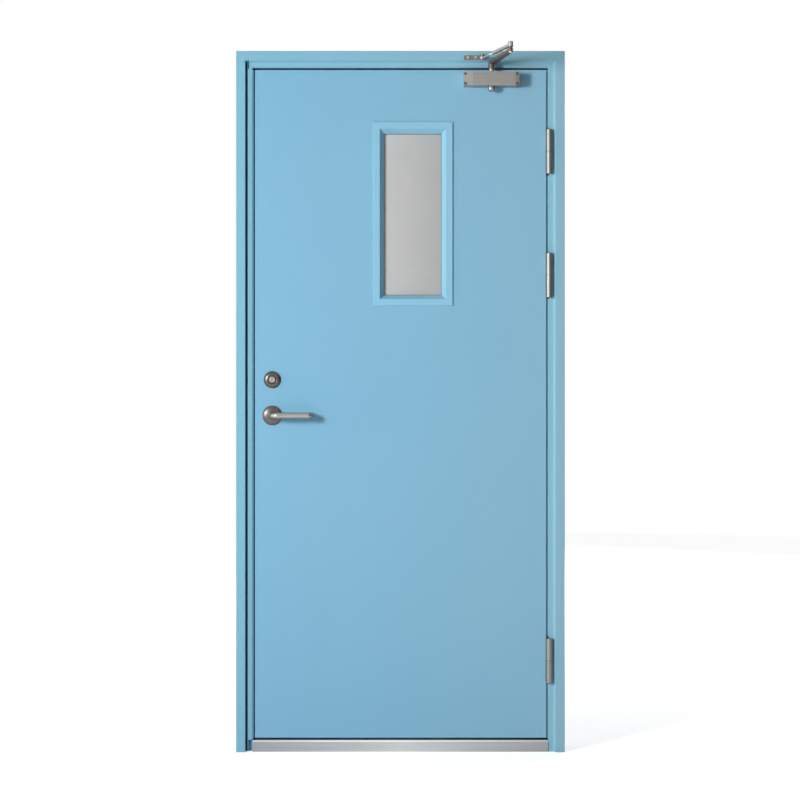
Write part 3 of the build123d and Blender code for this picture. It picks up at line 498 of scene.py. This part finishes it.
def obscured_glass(name):
    """Frosted pane: pale grey, faintly cloudy, darker to the right as painted shade, with an etched
    grain.
    """
    finish = Finish(name, 0.42, specular=0.45)
    cloud = finish.noise(16.0, detail=4.0, roughness=0.6)
    # Painted shade: the pane's colour darkens from left to right
    painted_side_shade = finish.across(PANE_LOW.x, PANE_HIGH.x)
    cloud_and_side_shade = finish.average(finish.average(cloud, painted_side_shade), painted_side_shade)
    base = finish.blend(cloud_and_side_shade, [(0.2, (0.625, 0.630, 0.616)), (0.8, (0.455, 0.457, 0.444))])
    etch = finish.noise(950.0, detail=3.0, roughness=0.6)
    grain = finish.blend(etch, [(0.3, grey(0.95)), (0.7, WHITE)])
    finish.colour(finish.tinted(base, grain))
    finish.roughen(cloud, 0.38, 0.48)
    finish.bump(etch, 0.15 * MM, strength=0.25)
    finish.shader.inputs["Transmission Weight"].default_value = 0.12
    finish.shader.inputs["IOR"].default_value = 1.5
    return finish.material


def seal_rubber(name, colour):
    """Extruded strip with a fine grain and a dusty bloom."""
    finish = Finish(name, 0.7, specular=0.3)
    bloom = finish.noise(120.0, detail=4.0, roughness=0.6)
    base = finish.blend(bloom, [(0.3, shade(colour, 0.75)), (0.75, shade(colour, 1.35))])
    finish.colour(base)
    finish.roughen(bloom, 0.6, 0.8)
    finish.bump(finish.noise(900.0), 0.2 * MM, strength=0.4)
    return finish.material


def core_board(name):
    """Pale mineral board with fibres and pores."""
    finish = Finish(name, 0.85, specular=0.2)
    fibre = finish.noise(1.0, detail=4.0, roughness=0.7, vector=finish.stretched(FIBRES))
    base = finish.blend(fibre, [(0.3, (0.46, 0.42, 0.34)), (0.7, (0.62, 0.58, 0.49))])
    pores = finish.noise(700.0)
    veil = finish.blend(pores, [(0.25, (0.75, 0.74, 0.72)), (0.45, WHITE)])
    finish.colour(finish.tinted(base, veil))
    finish.bump(pores, 0.4 * MM, strength=0.5)
    return finish.material


LOCK_AXIS = centre_of("lever_rose_front")
CYLINDER_AXIS = centre_of("cylinder_collar")

FINISHES = {
    "frame_paint": paint("frame_paint", (0.240, 0.494, 0.628), 0.42),
    "leaf_paint": paint("leaf_paint", (0.230, 0.484, 0.660), 0.42),
    "vision_paint": paint("vision_paint", (0.266, 0.552, 0.730), 0.40),
    # The sill's lighter middle is a painted highlight
    "sill_steel": sheen_painted_steel("sill_steel", (0.320, 0.326, 0.336), (0.550, 0.546, 0.545), 0.36),
    "seal": seal_rubber("seal", (0.20, 0.33, 0.40)),
    "core_board": core_board("core_board"),
    "obscured_glass": obscured_glass("obscured_glass"),
    "hinge_steel": brushed("hinge_steel", (0.262, 0.258, 0.246), 0.42, LINES_Z, 0.1),
    "lock_steel": brushed("lock_steel", (0.46, 0.455, 0.45), 0.32, LINES_Z, 0.14),
    "furniture_steel": brushed("furniture_steel", (0.335, 0.328, 0.310), 0.30, LINES_X, 0.1),
    "cylinder_brass": turned("cylinder_brass", (0.42, 0.40, 0.385), 0.26, CYLINDER_AXIS, 0.4),
    "closer_casting": extruded("closer_casting", (0.29, 0.288, 0.274), 0.42, 0.16),
    "arm_steel": cast_metal("arm_steel", (0.44, 0.42, 0.395), 0.36, 0.5),
}
DARK_RUBBER = seal_rubber("dark_rubber", (0.018, 0.050, 0.070))
GREY_RUBBER = seal_rubber("grey_rubber", (0.16, 0.19, 0.20))
FIN_RUBBER = seal_rubber("fin_rubber", (0.088, 0.250, 0.335))
# Brighter steel for the skin on the sill's edge: a painted highlight
HIGHLIGHT_SKIN_STEEL = sheen_painted_steel("highlight_skin_steel", (0.50, 0.51, 0.52), grey(0.74), 0.36)
ROSE_STEEL = turned("rose_steel", (0.125, 0.108, 0.100), 0.34, LOCK_AXIS, 0.4)
COLLAR_STEEL = turned("collar_steel", (0.112, 0.098, 0.090), 0.30, CYLINDER_AXIS, 0.3)
# Dark steel for the main arm: the shade seen on its underside painted over the whole arm; the
# closer's screws use it too
PAINTED_SHADE_STEEL = cast_metal("painted_shade_steel", (0.150, 0.125, 0.105), 0.40, 0.5)
SHOE_STEEL = cast_metal("shoe_steel", (0.190, 0.165, 0.145), 0.40, 0.5)
# Lit and shaded copies of the caps' lacquer: the left cap painted lighter, the right cap painted
# darker, as painted light and shade
CAP_PAINTED_LIT = extruded("cap_painted_lit", (0.36, 0.35, 0.335), 0.42, 0.12)
CAP_PAINTED_SHADE = extruded("cap_painted_shade", (0.21, 0.20, 0.19), 0.45, 0.12)
DOME_METAL = cast_metal("dome_metal", (0.33, 0.315, 0.30), 0.24, 0.6)
SCREW_STEEL = brushed("screw_steel", (0.50, 0.49, 0.475), 0.28, LINES_SCREW, 0.2)
BRASS = brushed("valve_brass", (0.48, 0.36, 0.17), 0.32, LINES_SCREW, 0.15)

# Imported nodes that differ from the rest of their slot
NODE_FINISHES = {
    "lever_rose_front": ROSE_STEEL,
    "lever_rose_back": ROSE_STEEL,
    "thumbturn_rose": COLLAR_STEEL,
    "cylinder_collar": COLLAR_STEEL,
    # Main arm painted dark as shade
    "closer_main_arm": PAINTED_SHADE_STEEL,
    "closer_shoe": SHOE_STEEL,
    "closer_cap_left": CAP_PAINTED_LIT,
    "closer_cap_right": CAP_PAINTED_SHADE,
}

for node_name, node in nodes.items():
    slot_name = node.material_slots[0].material.name
    node.material_slots[0].material = NODE_FINISHES.get(node_name, FINISHES[slot_name])


# Mesh tools for the small pieces
SMOOTH_ANGLE = math.radians(32)
RECESS_TAPER = 0.8


def new_piece(name, shape, material, body):
    """Turn a finished bmesh into a piece that rides on a body."""
    bmesh.ops.recalc_face_normals(shape, faces=shape.faces)
    mesh = bpy.data.meshes.new(name)
    shape.to_mesh(mesh)
    shape.free()
    for polygon in mesh.polygons:
        polygon.use_smooth = True
    mesh.set_sharp_from_angle(angle=SMOOTH_ANGLE)
    mesh.materials.append(material)
    piece = bpy.data.objects.new(name, mesh)
    scene.collection.objects.link(piece)
    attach(piece, body)
    return piece


def in_metres(points):
    """Pairs given in millimetres, in metres."""
    return [(a * MM, b * MM) for a, b in points]


def aimed(origin, axis):
    """Matrix that puts +Z along axis at origin."""
    turn = Vector(UP).rotation_difference(Vector(axis).normalized())
    return Matrix.Translation(origin) @ turn.to_matrix().to_4x4()


def join_rings(shape, low, high):
    """Faces between two rings of points; a ring of one point is a pole."""
    for i in range(max(len(low), len(high))):
        corners = (
            low[i % len(low)],
            low[(i + 1) % len(low)],
            high[(i + 1) % len(high)],
            high[i % len(high)],
        )
        shape.faces.new(list(dict.fromkeys(corners)))


def lathe(shape, profile, origin, axis, segments=24, closed=False):
    """Turn (radius, height) points about an axis, and return the last ring of points.

    Closed joins the last ring to the first one, for a piece with a hole.
    """
    place = aimed(origin, axis)
    rings = []
    for radius, height in profile:
        count = segments if radius > 0 else 1
        ring = []
        for i in range(count):
            angle = 2 * math.pi * i / count
            point = Vector((radius * math.cos(angle), radius * math.sin(angle), height))
            ring.append(shape.verts.new(place @ point))
        rings.append(ring)
    for low, high in zip(rings, rings[1:]):
        join_rings(shape, low, high)
    if closed:
        join_rings(shape, rings[-1], rings[0])
    return rings[-1]


def bar(shape, section, start, end):
    """Straight bar with closed ends; section is a list of offsets from both end points."""
    rings = []
    for place in (start, end):
        rings.append([shape.verts.new(Vector(place) + offset) for offset in section])
    join_rings(shape, *rings)
    for ring in rings:
        shape.faces.new(ring)


def cross_recess(reach, width):
    """Outline of a cross recess, 12 corners."""
    corners = []
    for quarter in range(4):
        turn = Matrix.Rotation(quarter * math.pi / 2, 2)
        for point in ((width, -width), (reach, -width), (reach, width)):
            corners.append(turn @ Vector(point))
    return corners


def hexagon_recess(radius):
    """Outline of a hexagon socket, by its corner radius."""
    turns = [math.pi / 3 * i for i in range(6)]
    return [Vector((radius * math.cos(turn), radius * math.sin(turn))) for turn in turns]


def screw(shape, origin, axis, profile, recess, depth):
    """Screw head: a turned profile with a sunk recess in its flat top."""
    rim = lathe(shape, profile, origin, axis)
    place = aimed(origin, axis)
    top = profile[-1][1]
    tapered = [point * RECESS_TAPER for point in recess]
    mouth = [shape.verts.new(place @ Vector((*point, top))) for point in recess]
    floor = [shape.verts.new(place @ Vector((*point, top - depth))) for point in tapered]
    edges = [shape.edges.get((a, b)) for a, b in zip(rim, rim[1:] + rim[:1])]
    edges += [shape.edges.new((a, b)) for a, b in zip(mouth, mouth[1:] + mouth[:1])]
    bmesh.ops.triangle_fill(shape, use_beauty=True, edges=edges)
    join_rings(shape, mouth, floor)
    shape.faces.new(floor)


def countersunk(shape, origin, axis, radius):
    """Flush cross-head screw, a hair proud of its seat."""
    base, edge, rise = -0.5 * MM, 0.1 * MM, 0.25 * MM
    profile = [(radius, base), (radius, edge), (radius * 0.94, rise)]
    recess = cross_recess(radius * 0.62, radius * 0.13)
    screw(shape, origin, axis, profile, recess, depth=0.7 * MM)


def pan_head(shape, origin, axis, radius, height):
    """Round-edged cross-head screw that stands on its seat."""
    profile = [
        (radius, -0.3 * MM),
        (radius, height * 0.35),
        (radius * 0.93, height * 0.7),
        (radius * 0.75, height),
    ]
    recess = cross_recess(radius * 0.55, radius * 0.14)
    screw(shape, origin, axis, profile, recess, depth=height * 0.55)


def socket_head(shape, origin, axis, radius, height):
    """Cylinder-head screw with a hexagon socket."""
    profile = [(radius, 0), (radius, height * 0.88), (radius * 0.9, height)]
    screw(shape, origin, axis, profile, hexagon_recess(radius * 0.55), depth=height * 0.5)


def hexagon(shape, origin, axis, radius, height):
    """Hexagon nut or bolt head with chamfered corners."""
    flat = radius * 0.92
    profile = [
        (0, 0),
        (flat, 0),
        (radius, height * 0.15),
        (radius, height * 0.85),
        (flat, height),
        (0, height),
    ]
    lathe(shape, profile, origin, axis, segments=6)


# Hinge screws, three to each flap, on the frame and on the leaf
PLATE_SCREW = 3.6 * MM
FLAP_SCREW_INSET = 18 * MM


def hinge_boxes(half):
    """Boxes of the frame halves or the leaf halves of the hinges, from the top down."""
    return [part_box(f"{place}_hinge_{half}_half") for place in ("top", "middle", "bottom")]


def hinge_screws(half, face_x, facing, body):
    """Countersunk screws in the flaps of one half of each hinge."""
    shape = bmesh.new()
    for low, high in hinge_boxes(half):
        depth = (LEAF_FRONT + high.y) / 2
        lowest, highest = low.z + FLAP_SCREW_INSET, high.z - FLAP_SCREW_INSET
        for height in (lowest, (low.z + high.z) / 2, highest):
            countersunk(shape, (face_x, depth, height), (facing, 0, 0), PLATE_SCREW)
    new_piece(f"hinge_screws_{half}", shape, SCREW_STEEL, body)


hinge_screws("frame", REBATE, -1, "frame")
hinge_screws("leaf", LEAF_RIGHT, 1, "leaf")

# Bearing washers between the knuckles
HINGE_AXIS = JOINT_PLACES["leaf_swing"]
WASHER_OUTER = 9.2 * MM
WASHER_INNER = 5.4 * MM
WASHER_GAP = 0.1 * MM
WASHER_SEAT = 0.5 * MM


def hinge_washers():
    """Dark ring on each lower knuckle, under the upper one."""
    shape = bmesh.new()
    height = 2 * WASHER_SEAT - WASHER_GAP
    profile = [
        (WASHER_INNER, 0),
        (WASHER_OUTER, 0),
        (WASHER_OUTER, height),
        (WASHER_INNER, height),
    ]
    for lower, upper in zip(hinge_boxes("frame"), hinge_boxes("leaf")):
        base = (lower[0].z + upper[1].z) / 2 - WASHER_SEAT
        origin = (HINGE_AXIS.x, HINGE_AXIS.y, base)
        lathe(shape, profile, origin, UP, segments=40, closed=True)
    new_piece("hinge_washers", shape, DARK_RUBBER, "frame")


hinge_washers()

# Screws of the lock forend and the strike plate
PLATE_SCREW_INSET = 12 * MM


def plate_screws(name, node_name, facing, body):
    """Two countersunk screws at the ends of an upright plate."""
    shape = bmesh.new()
    low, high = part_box(node_name)
    face_x = high.x if facing > 0 else low.x
    for height in (low.z + PLATE_SCREW_INSET, high.z - PLATE_SCREW_INSET):
        countersunk(shape, (face_x, LEAF_MIDDLE, height), (facing, 0, 0), PLATE_SCREW)
    new_piece(name, shape, SCREW_STEEL, body)


plate_screws("forend_screws", "lock_forend", -1, "leaf")
plate_screws("strike_screws", "strike_plate", 1, "frame")

# Vision panel: screws through the back frame, at shares of its sides and midway at both ends
BAND_HALF = 10 * MM
VISION_SCREW = 3.4 * MM
VISION_SHARES = (0.04, 0.34, 0.66, 0.96)


def vision_screws():
    """Countersunk screws along the band of the back frame."""
    shape = bmesh.new()
    low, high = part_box("vision_frame_back")
    left, right = low.x + BAND_HALF, high.x - BAND_HALF
    base, top = low.z + BAND_HALF, high.z - BAND_HALF
    heights = [base + (top - base) * share for share in VISION_SHARES]
    places = [(x, z) for x in (left, right) for z in heights]
    places += [((left + right) / 2, z) for z in (base, top)]
    for x, z in places:
        countersunk(shape, (x, high.y, z), TO_BACK, VISION_SCREW)
    new_piece("vision_screws_back", shape, SCREW_STEEL, "leaf")


vision_screws()

# Glazing gaskets, a soft bead round the pane on each side; points are shares of width and height
GASKET_WIDTH = 1.4 * MM
GASKET_HEIGHT = 3.2 * MM
GASKET_SECTION = ((0.0, 0.0), (0.0, 0.8), (0.25, 1.0), (0.7, 0.85), (1.0, 0.35), (1.0, 0.0))
PANE_REBATE = 10 * MM


def window_ring(shape, low, high, profile):
    """Mitred strip round an upright rectangle; profile holds (inset, depth) points."""
    rings = []
    for inset, depth in profile:
        left, right = low.x + inset, high.x - inset
        base, top = low.z + inset, high.z - inset
        corners = ((left, base), (right, base), (right, top), (left, top))
        rings.append([shape.verts.new((x, depth, z)) for x, z in corners])
    for first, second in zip(rings, rings[1:] + rings[:1]):
        join_rings(shape, first, second)


def glazing_gasket(name, face_y, outward):
    """Rounded bead that lies on the pane, against the frame's inner wall."""
    shape = bmesh.new()
    margin = Vector((PANE_REBATE, 0, PANE_REBATE))
    rise = outward * GASKET_HEIGHT
    profile = [(a * GASKET_WIDTH, face_y + b * rise) for a, b in GASKET_SECTION]
    window_ring(shape, PANE_LOW + margin, PANE_HIGH - margin, profile)
    new_piece(name, shape, GREY_RUBBER, "leaf")


glazing_gasket("glazing_gasket_front", PANE_LOW.y, -1)
glazing_gasket("glazing_gasket_back", PANE_HIGH.y, 1)

# Smoke lips on the seal strips, bent towards the leaf; points are millimetres across and in depth
LIP = ((-1.6, 0.2), (1.6, 0.2), (1.0, -1.6), (1.7, -3.2), (1.2, -3.5), (0.1, -1.9), (-1.0, -1.4))


def seal_lips():
    """One lip along each strip on the stops."""
    shape = bmesh.new()
    for node_name, side in (("lock_jamb_seal", 1), ("hinge_jamb_seal", -1)):
        low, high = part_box(node_name)
        section = [Vector((side * x, y, 0)) for x, y in in_metres(LIP)]
        middle = (low.x + high.x) / 2
        bar(shape, section, (middle, low.y, low.z), (middle, low.y, high.z))
    low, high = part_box("head_seal")
    section = [Vector((0, y, -x)) for x, y in in_metres(LIP)]
    middle = (low.z + high.z) / 2
    bar(shape, section, (low.x, low.y, middle), (high.x, low.y, middle))
    new_piece("seal_lips", shape, FINISHES["seal"], "frame")


seal_lips()

# Near-black strip on the floor of the lock jamb's groove: painted shade that deepens the groove
GROOVE_SIDE = (29.2 * MM, 33.8 * MM)
GROOVE_FLOOR = 20 * MM
STRIP_HEIGHT = 6 * MM
STRIP_BASE = 1 * MM
STRIP_TOP = 34 * MM


def groove_shade_strip():
    """Near-black rubber strip with a rounded crown, from the floor to the corner, as painted shade
    in the groove.
    """
    shape = bmesh.new()
    low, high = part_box("lock_jamb")
    left, right = (low.x + side for side in GROOVE_SIDE)
    floor = FACE_Y + GROOVE_FLOOR
    crown = floor - STRIP_HEIGHT
    third = (right - left) / 3
    section = [
        Vector((left, floor, 0)),
        Vector((left, crown + third, 0)),
        Vector((left + third, crown, 0)),
        Vector((right - third, crown, 0)),
        Vector((right, crown + third, 0)),
        Vector((right, floor, 0)),
    ]
    bar(shape, section, (0, 0, low.z + STRIP_BASE), (0, 0, high.z - STRIP_TOP))
    new_piece("groove_shade_strip", shape, DARK_RUBBER, "frame")


# Painted highlight along the sill's rounded upper edge: a brighter steel skin from just outside the
# steel to just inside
SILL_TREAD = 36.5 * MM
SILL_NOSE = 6 * MM
NOSING_SKIN = (0.3 * MM, -0.2 * MM)
NOSING_STEPS = 8


def sill_highlight_skin():
    """Brighter skin over the rounded upper edge of the sill's face, a painted highlight."""
    shape = bmesh.new()
    turns = [math.pi / 2 * step / NOSING_STEPS for step in range(NOSING_STEPS + 1)]
    section = []
    for skin, way in zip(NOSING_SKIN, (turns, turns[::-1])):
        radius = SILL_NOSE + skin
        for turn in way:
            section.append(Vector((0, -radius * math.cos(turn), radius * math.sin(turn))))
    depth, height = SILL_LOW.y + SILL_NOSE, SILL_TREAD - SILL_NOSE
    bar(shape, section, (SILL_LOW.x, depth, height), (SILL_HIGH.x, depth, height))
    new_piece("sill_highlight_skin", shape, HIGHLIGHT_SKIN_STEEL, "frame")


# Fins in the side gaps; points are shares of the reach and millimetres behind the leaf's face
FIN_REACH = (3.6 * MM, -3.2 * MM)
FIN_SECTION = ((0, 2.0), (0.8, 1.5), (1, 1.9), (0.8, 2.4), (0, 3.5))
FIN_CLEAR = 4 * MM


def side_fins():
    """Soft fins on both rebate walls, just behind the leaf's face, broken at the hinges."""
    shape = bmesh.new()
    hinges = list(zip(hinge_boxes("frame"), hinge_boxes("leaf")))[::-1]
    for reach in FIN_REACH:
        wall = math.copysign(REBATE, -reach)
        section = []
        for share, depth in FIN_SECTION:
            section.append(Vector((wall + reach * share, LEAF_FRONT + depth * MM, 0)))
        breaks = [] if reach > 0 else hinges
        starts = [SILL_TREAD + FIN_CLEAR] + [upper[1].z + FIN_CLEAR for _, upper in breaks]
        ends = [lower[0].z - FIN_CLEAR for lower, _ in breaks] + [LEAF_TOP]
        for start, end in zip(starts, ends):
            bar(shape, section, (0, 0, start), (0, 0, end))
    new_piece("side_fins", shape, FIN_RUBBER, "frame")


groove_shade_strip()
sill_highlight_skin()
side_fins()

# Roses and collar, turned with a soft dome; points are (radius, height) in millimetres
ROSE_PROFILE = (
    (9.9, 0), (30, 0), (30, 1.8), (29.4, 2.9), (27.6, 4.5),
    (24.5, 6.0), (20, 7.2), (15, 7.9), (10.7, 8), (9.9, 7.4),
)
COLLAR_PROFILE = (
    (9.8, 0), (26, 0), (26, 2.2), (25.5, 3.1), (23.6, 5.2), (20.5, 7),
    (17, 8.1), (14.4, 8.5), (13.2, 8.2), (12.2, 6.6), (9.8, 6.3),
)


def domed_ring(name, node_name, profile, face_y, outward, material):
    """Domed ring on the leaf, in place of a packed one."""
    shape = bmesh.new()
    centre = centre_of(node_name)
    origin = (centre.x, face_y, centre.z)
    lathe(shape, in_metres(profile), origin, (0, outward, 0), segments=64, closed=True)
    ring = new_piece(name, shape, material, "leaf")
    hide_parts(node_name)


domed_ring("domed_rose_front", "lever_rose_front", ROSE_PROFILE, LEAF_FRONT, -1, ROSE_STEEL)
domed_ring("domed_rose_back", "lever_rose_back", ROSE_PROFILE, LEAF_BACK, 1, ROSE_STEEL)
domed_ring("domed_collar", "cylinder_collar", COLLAR_PROFILE, LEAF_FRONT, -1, COLLAR_STEEL)

# Lever set screws, one under each neck
SET_SCREW = 2.2 * MM
SET_SCREW_HEIGHT = 0.7 * MM
SET_SCREW_SUNK = 0.4 * MM
SET_SCREW_OUT = 17 * MM


def set_screws():
    """Small socket screws under the lever necks, in front and behind."""
    shape = bmesh.new()
    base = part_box("lever_front")[0].z + SET_SCREW_SUNK
    neck = centre_of("lever_spindle")
    for depth in (LEAF_FRONT - SET_SCREW_OUT, LEAF_BACK + SET_SCREW_OUT):
        socket_head(shape, (neck.x, depth, base), DOWN, SET_SCREW, SET_SCREW_HEIGHT)
    new_piece("lever_set_screws", shape, SCREW_STEEL, "lever_set")


set_screws()

# Closer: screws in the cap bores
CAP_LEFT_LOW, CAP_LEFT_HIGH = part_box("closer_cap_left")
CAP_RIGHT_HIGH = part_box("closer_cap_right")[1]
BORE_EDGE = 5.5 * MM
BORE_FLOOR = LEAF_FRONT - 8 * MM
BORE_SCREW = 3.6 * MM
BORE_SHANK = 2.4 * MM
HEAD_HEIGHT = 5 * MM
HEAD_SUNK = 3 * MM
HEAD_CHAMFER = 0.6 * MM


def closer_screws():
    """Long socket screws in the bores of both caps, heads a little below the face."""
    shape = bmesh.new()
    top = BORE_FLOOR - CAP_LEFT_LOW.y - HEAD_SUNK
    profile = [
        (0, 0),
        (BORE_SHANK, 0),
        (BORE_SHANK, top - HEAD_HEIGHT),
        (BORE_SCREW, top - HEAD_HEIGHT),
        (BORE_SCREW, top - HEAD_CHAMFER),
        (BORE_SCREW * 0.86, top),
    ]
    socket = hexagon_recess(BORE_SCREW * 0.55)
    for x in (CAP_LEFT_LOW.x + BORE_EDGE, CAP_RIGHT_HIGH.x - BORE_EDGE):
        for z in (CAP_LEFT_LOW.z + BORE_EDGE, CAP_LEFT_HIGH.z - BORE_EDGE):
            screw(shape, (x, BORE_FLOOR, z), TO_FRONT, profile, socket, HEAD_HEIGHT / 2)
    # The screws take the main arm's dark steel, painted shade that deepens the bores
    new_piece("closer_screws", shape, PAINTED_SHADE_STEEL, "leaf")


# Closer: speed valves, with points in millimetres
VALVE_PROFILE = ((3.8, -0.5), (3.8, 0.4), (3.4, 0.8))
VALVE_SLOT = ((2.9, 0.45), (-2.9, 0.45), (-2.9, -0.45), (2.9, -0.45))
VALVE_SLOT_DEPTH = 0.7 * MM
VALVE_OFFSET = 8 * MM


def valve_screws():
    """Two slotted speed valves in the end of the right cap."""
    shape = bmesh.new()
    middle = centre_of("closer_cap_right")
    profile = in_metres(VALVE_PROFILE)
    slot = [Vector(point) for point in in_metres(VALVE_SLOT)]
    for height in (middle.z - VALVE_OFFSET, middle.z + VALVE_OFFSET):
        origin = (CAP_RIGHT_HIGH.x, middle.y, height)
        screw(shape, origin, TO_RIGHT, profile, slot, VALVE_SLOT_DEPTH)
    new_piece("closer_valve_screws", shape, BRASS, "leaf")


# Closer: a smooth dome under the pinion, with an upright skirt; a lower power gives it fuller sides
DOME_SKIRT = 0.38
DOME_EDGE = 0.6 * MM
DOME_POWER = 0.8
DOME_STEPS = 10


def smooth_dome():
    """Rounded cap under the closer, on the pinion's lower end."""
    shape = bmesh.new()
    low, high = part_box("closer_dome")
    radius = (high.x - low.x) / 2
    height = high.z - low.z
    skirt = DOME_SKIRT * height
    profile = [(0, 0), (radius * 0.97, 0), (radius, DOME_EDGE), (radius, skirt)]
    for step in range(1, DOME_STEPS):
        turn = math.pi / 2 * step / DOME_STEPS
        rise = (height - skirt) * math.sin(turn)
        profile.append((radius * math.cos(turn) ** DOME_POWER, skirt + rise))
    profile.append((0, height))
    origin = ((low.x + high.x) / 2, (low.y + high.y) / 2, high.z)
    lathe(shape, profile, origin, DOWN, segments=40)
    dome = new_piece("closer_dome_cap", shape, DOME_METAL, "leaf")
    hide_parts("closer_dome")


closer_screws()
valve_screws()
smooth_dome()

# Arms: places on the main arm and the rod
ARM_LOW, ARM_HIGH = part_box("closer_main_arm")
TIP_RADIUS = 8.5 * MM
ELBOW_BOSS = 6 * MM
ARM_THICKNESS = 10 * MM
SLEEVE_LENGTH = 120 * MM
PINION = JOINT_PLACES["main_arm_turn"]
SHOE = JOINT_PLACES["forearm_turn"]
HUB_TOP = ARM_HIGH.z - ELBOW_BOSS
ELBOW = Vector((ARM_HIGH.x - TIP_RADIUS, ARM_LOW.y + TIP_RADIUS, HUB_TOP))
ROD_Z = centre_of("closer_rod").z
ROD_START = Vector((ELBOW.x, ELBOW.y, ROD_Z))
ROD_WAY = (Vector((SHOE.x, SHOE.y, ROD_Z)) - ROD_START).normalized()
ROD_RADIUS = 3.0 * MM

# Arms: hub bolt and elbow rivet, with points in millimetres
HUB_WASHER = ((0, 0), (7.6, 0), (7.8, 0.4), (7.4, 1.0), (0, 1.0))
HUB_WASHER_HEIGHT = 1.0 * MM
HUB_HEAD_RADIUS = 6.2 * MM
HUB_HEAD_HEIGHT = 3.8 * MM
RIVET_PROFILE = ((0, 0), (6.4, 0), (6.2, 1.4), (5.0, 2.9), (2.8, 3.8), (0, 4.1))


def hub_bolt():
    """Washer and hexagon bolt on top of the main arm's hub."""
    shape = bmesh.new()
    lathe(shape, in_metres(HUB_WASHER), (PINION.x, PINION.y, HUB_TOP), UP, segments=32)
    seat = (PINION.x, PINION.y, HUB_TOP + HUB_WASHER_HEIGHT)
    hexagon(shape, seat, UP, HUB_HEAD_RADIUS, HUB_HEAD_HEIGHT)
    new_piece("hub_bolt", shape, SCREW_STEEL, "main_arm")


def elbow_rivet():
    """Round rivet head under the main arm's tip."""
    shape = bmesh.new()
    origin = (ELBOW.x, ELBOW.y, HUB_TOP - ARM_THICKNESS)
    lathe(shape, in_metres(RIVET_PROFILE), origin, DOWN, segments=32)
    new_piece("elbow_rivet", shape, SCREW_STEEL, "main_arm")


# Arms: thread on the rod, from root to crest above its surface, and the lock nut
THREAD_PITCH = 1.25 * MM
THREAD_TURNS = 26
THREAD_ROOT = 0.05 * MM
THREAD_CREST = 0.45 * MM
NUT_GAP = 0.5 * MM
NUT_RADIUS = 5.6 * MM
NUT_HEIGHT = 4.5 * MM


def rod_thread():
    """Thread on the rod outside the sleeve, with a lock nut against the sleeve's end."""
    shape = bmesh.new()
    core = ROD_RADIUS * 0.9
    profile = [(core, 0)]
    for turn in range(THREAD_TURNS):
        profile.append((ROD_RADIUS + THREAD_ROOT, THREAD_PITCH * turn))
        profile.append((ROD_RADIUS + THREAD_CREST, THREAD_PITCH * (turn + 0.5)))
    profile.append((core, THREAD_PITCH * THREAD_TURNS))
    lathe(shape, profile, ROD_START + ROD_WAY * SLEEVE_LENGTH, ROD_WAY, segments=20)
    seat = ROD_START + ROD_WAY * (SLEEVE_LENGTH + NUT_GAP)
    hexagon(shape, seat, ROD_WAY, NUT_RADIUS, NUT_HEIGHT)
    new_piece("rod_thread_and_nut", shape, SCREW_STEEL, "forearm")


hub_bolt()
elbow_rivet()
rod_thread()

# The shoe's screws, and the head of its pin with points in millimetres
SHOE_LOW, SHOE_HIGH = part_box("closer_shoe")
SHOE_SCREWS = (12 * MM, 36 * MM)
SHOE_SCREW_RADIUS = 4.8 * MM
SHOE_SCREW_HEIGHT = 2.8 * MM
SHOE_PLATE = 4 * MM
SHOE_HEIGHT = 13 * MM
SHOE_PIN = ((0, 0), (4.6, 0), (4.5, 0.9), (3.4, 1.8), (0, 2.2))


def shoe_fixings():
    """Pan-head screws that hold the shoe to the head, and the head of its pin."""
    shape = bmesh.new()
    for offset in SHOE_SCREWS:
        place = (SHOE_LOW.x + offset, FACE_Y - SHOE_PLATE, SHOE_HIGH.z - SHOE_HEIGHT / 2)
        pan_head(shape, place, TO_FRONT, SHOE_SCREW_RADIUS, SHOE_SCREW_HEIGHT)
    lathe(shape, in_metres(SHOE_PIN), (SHOE.x, SHOE.y, SHOE_HIGH.z), UP, segments=28)
    new_piece("shoe_screws", shape, SCREW_STEEL, "frame")


shoe_fixings()
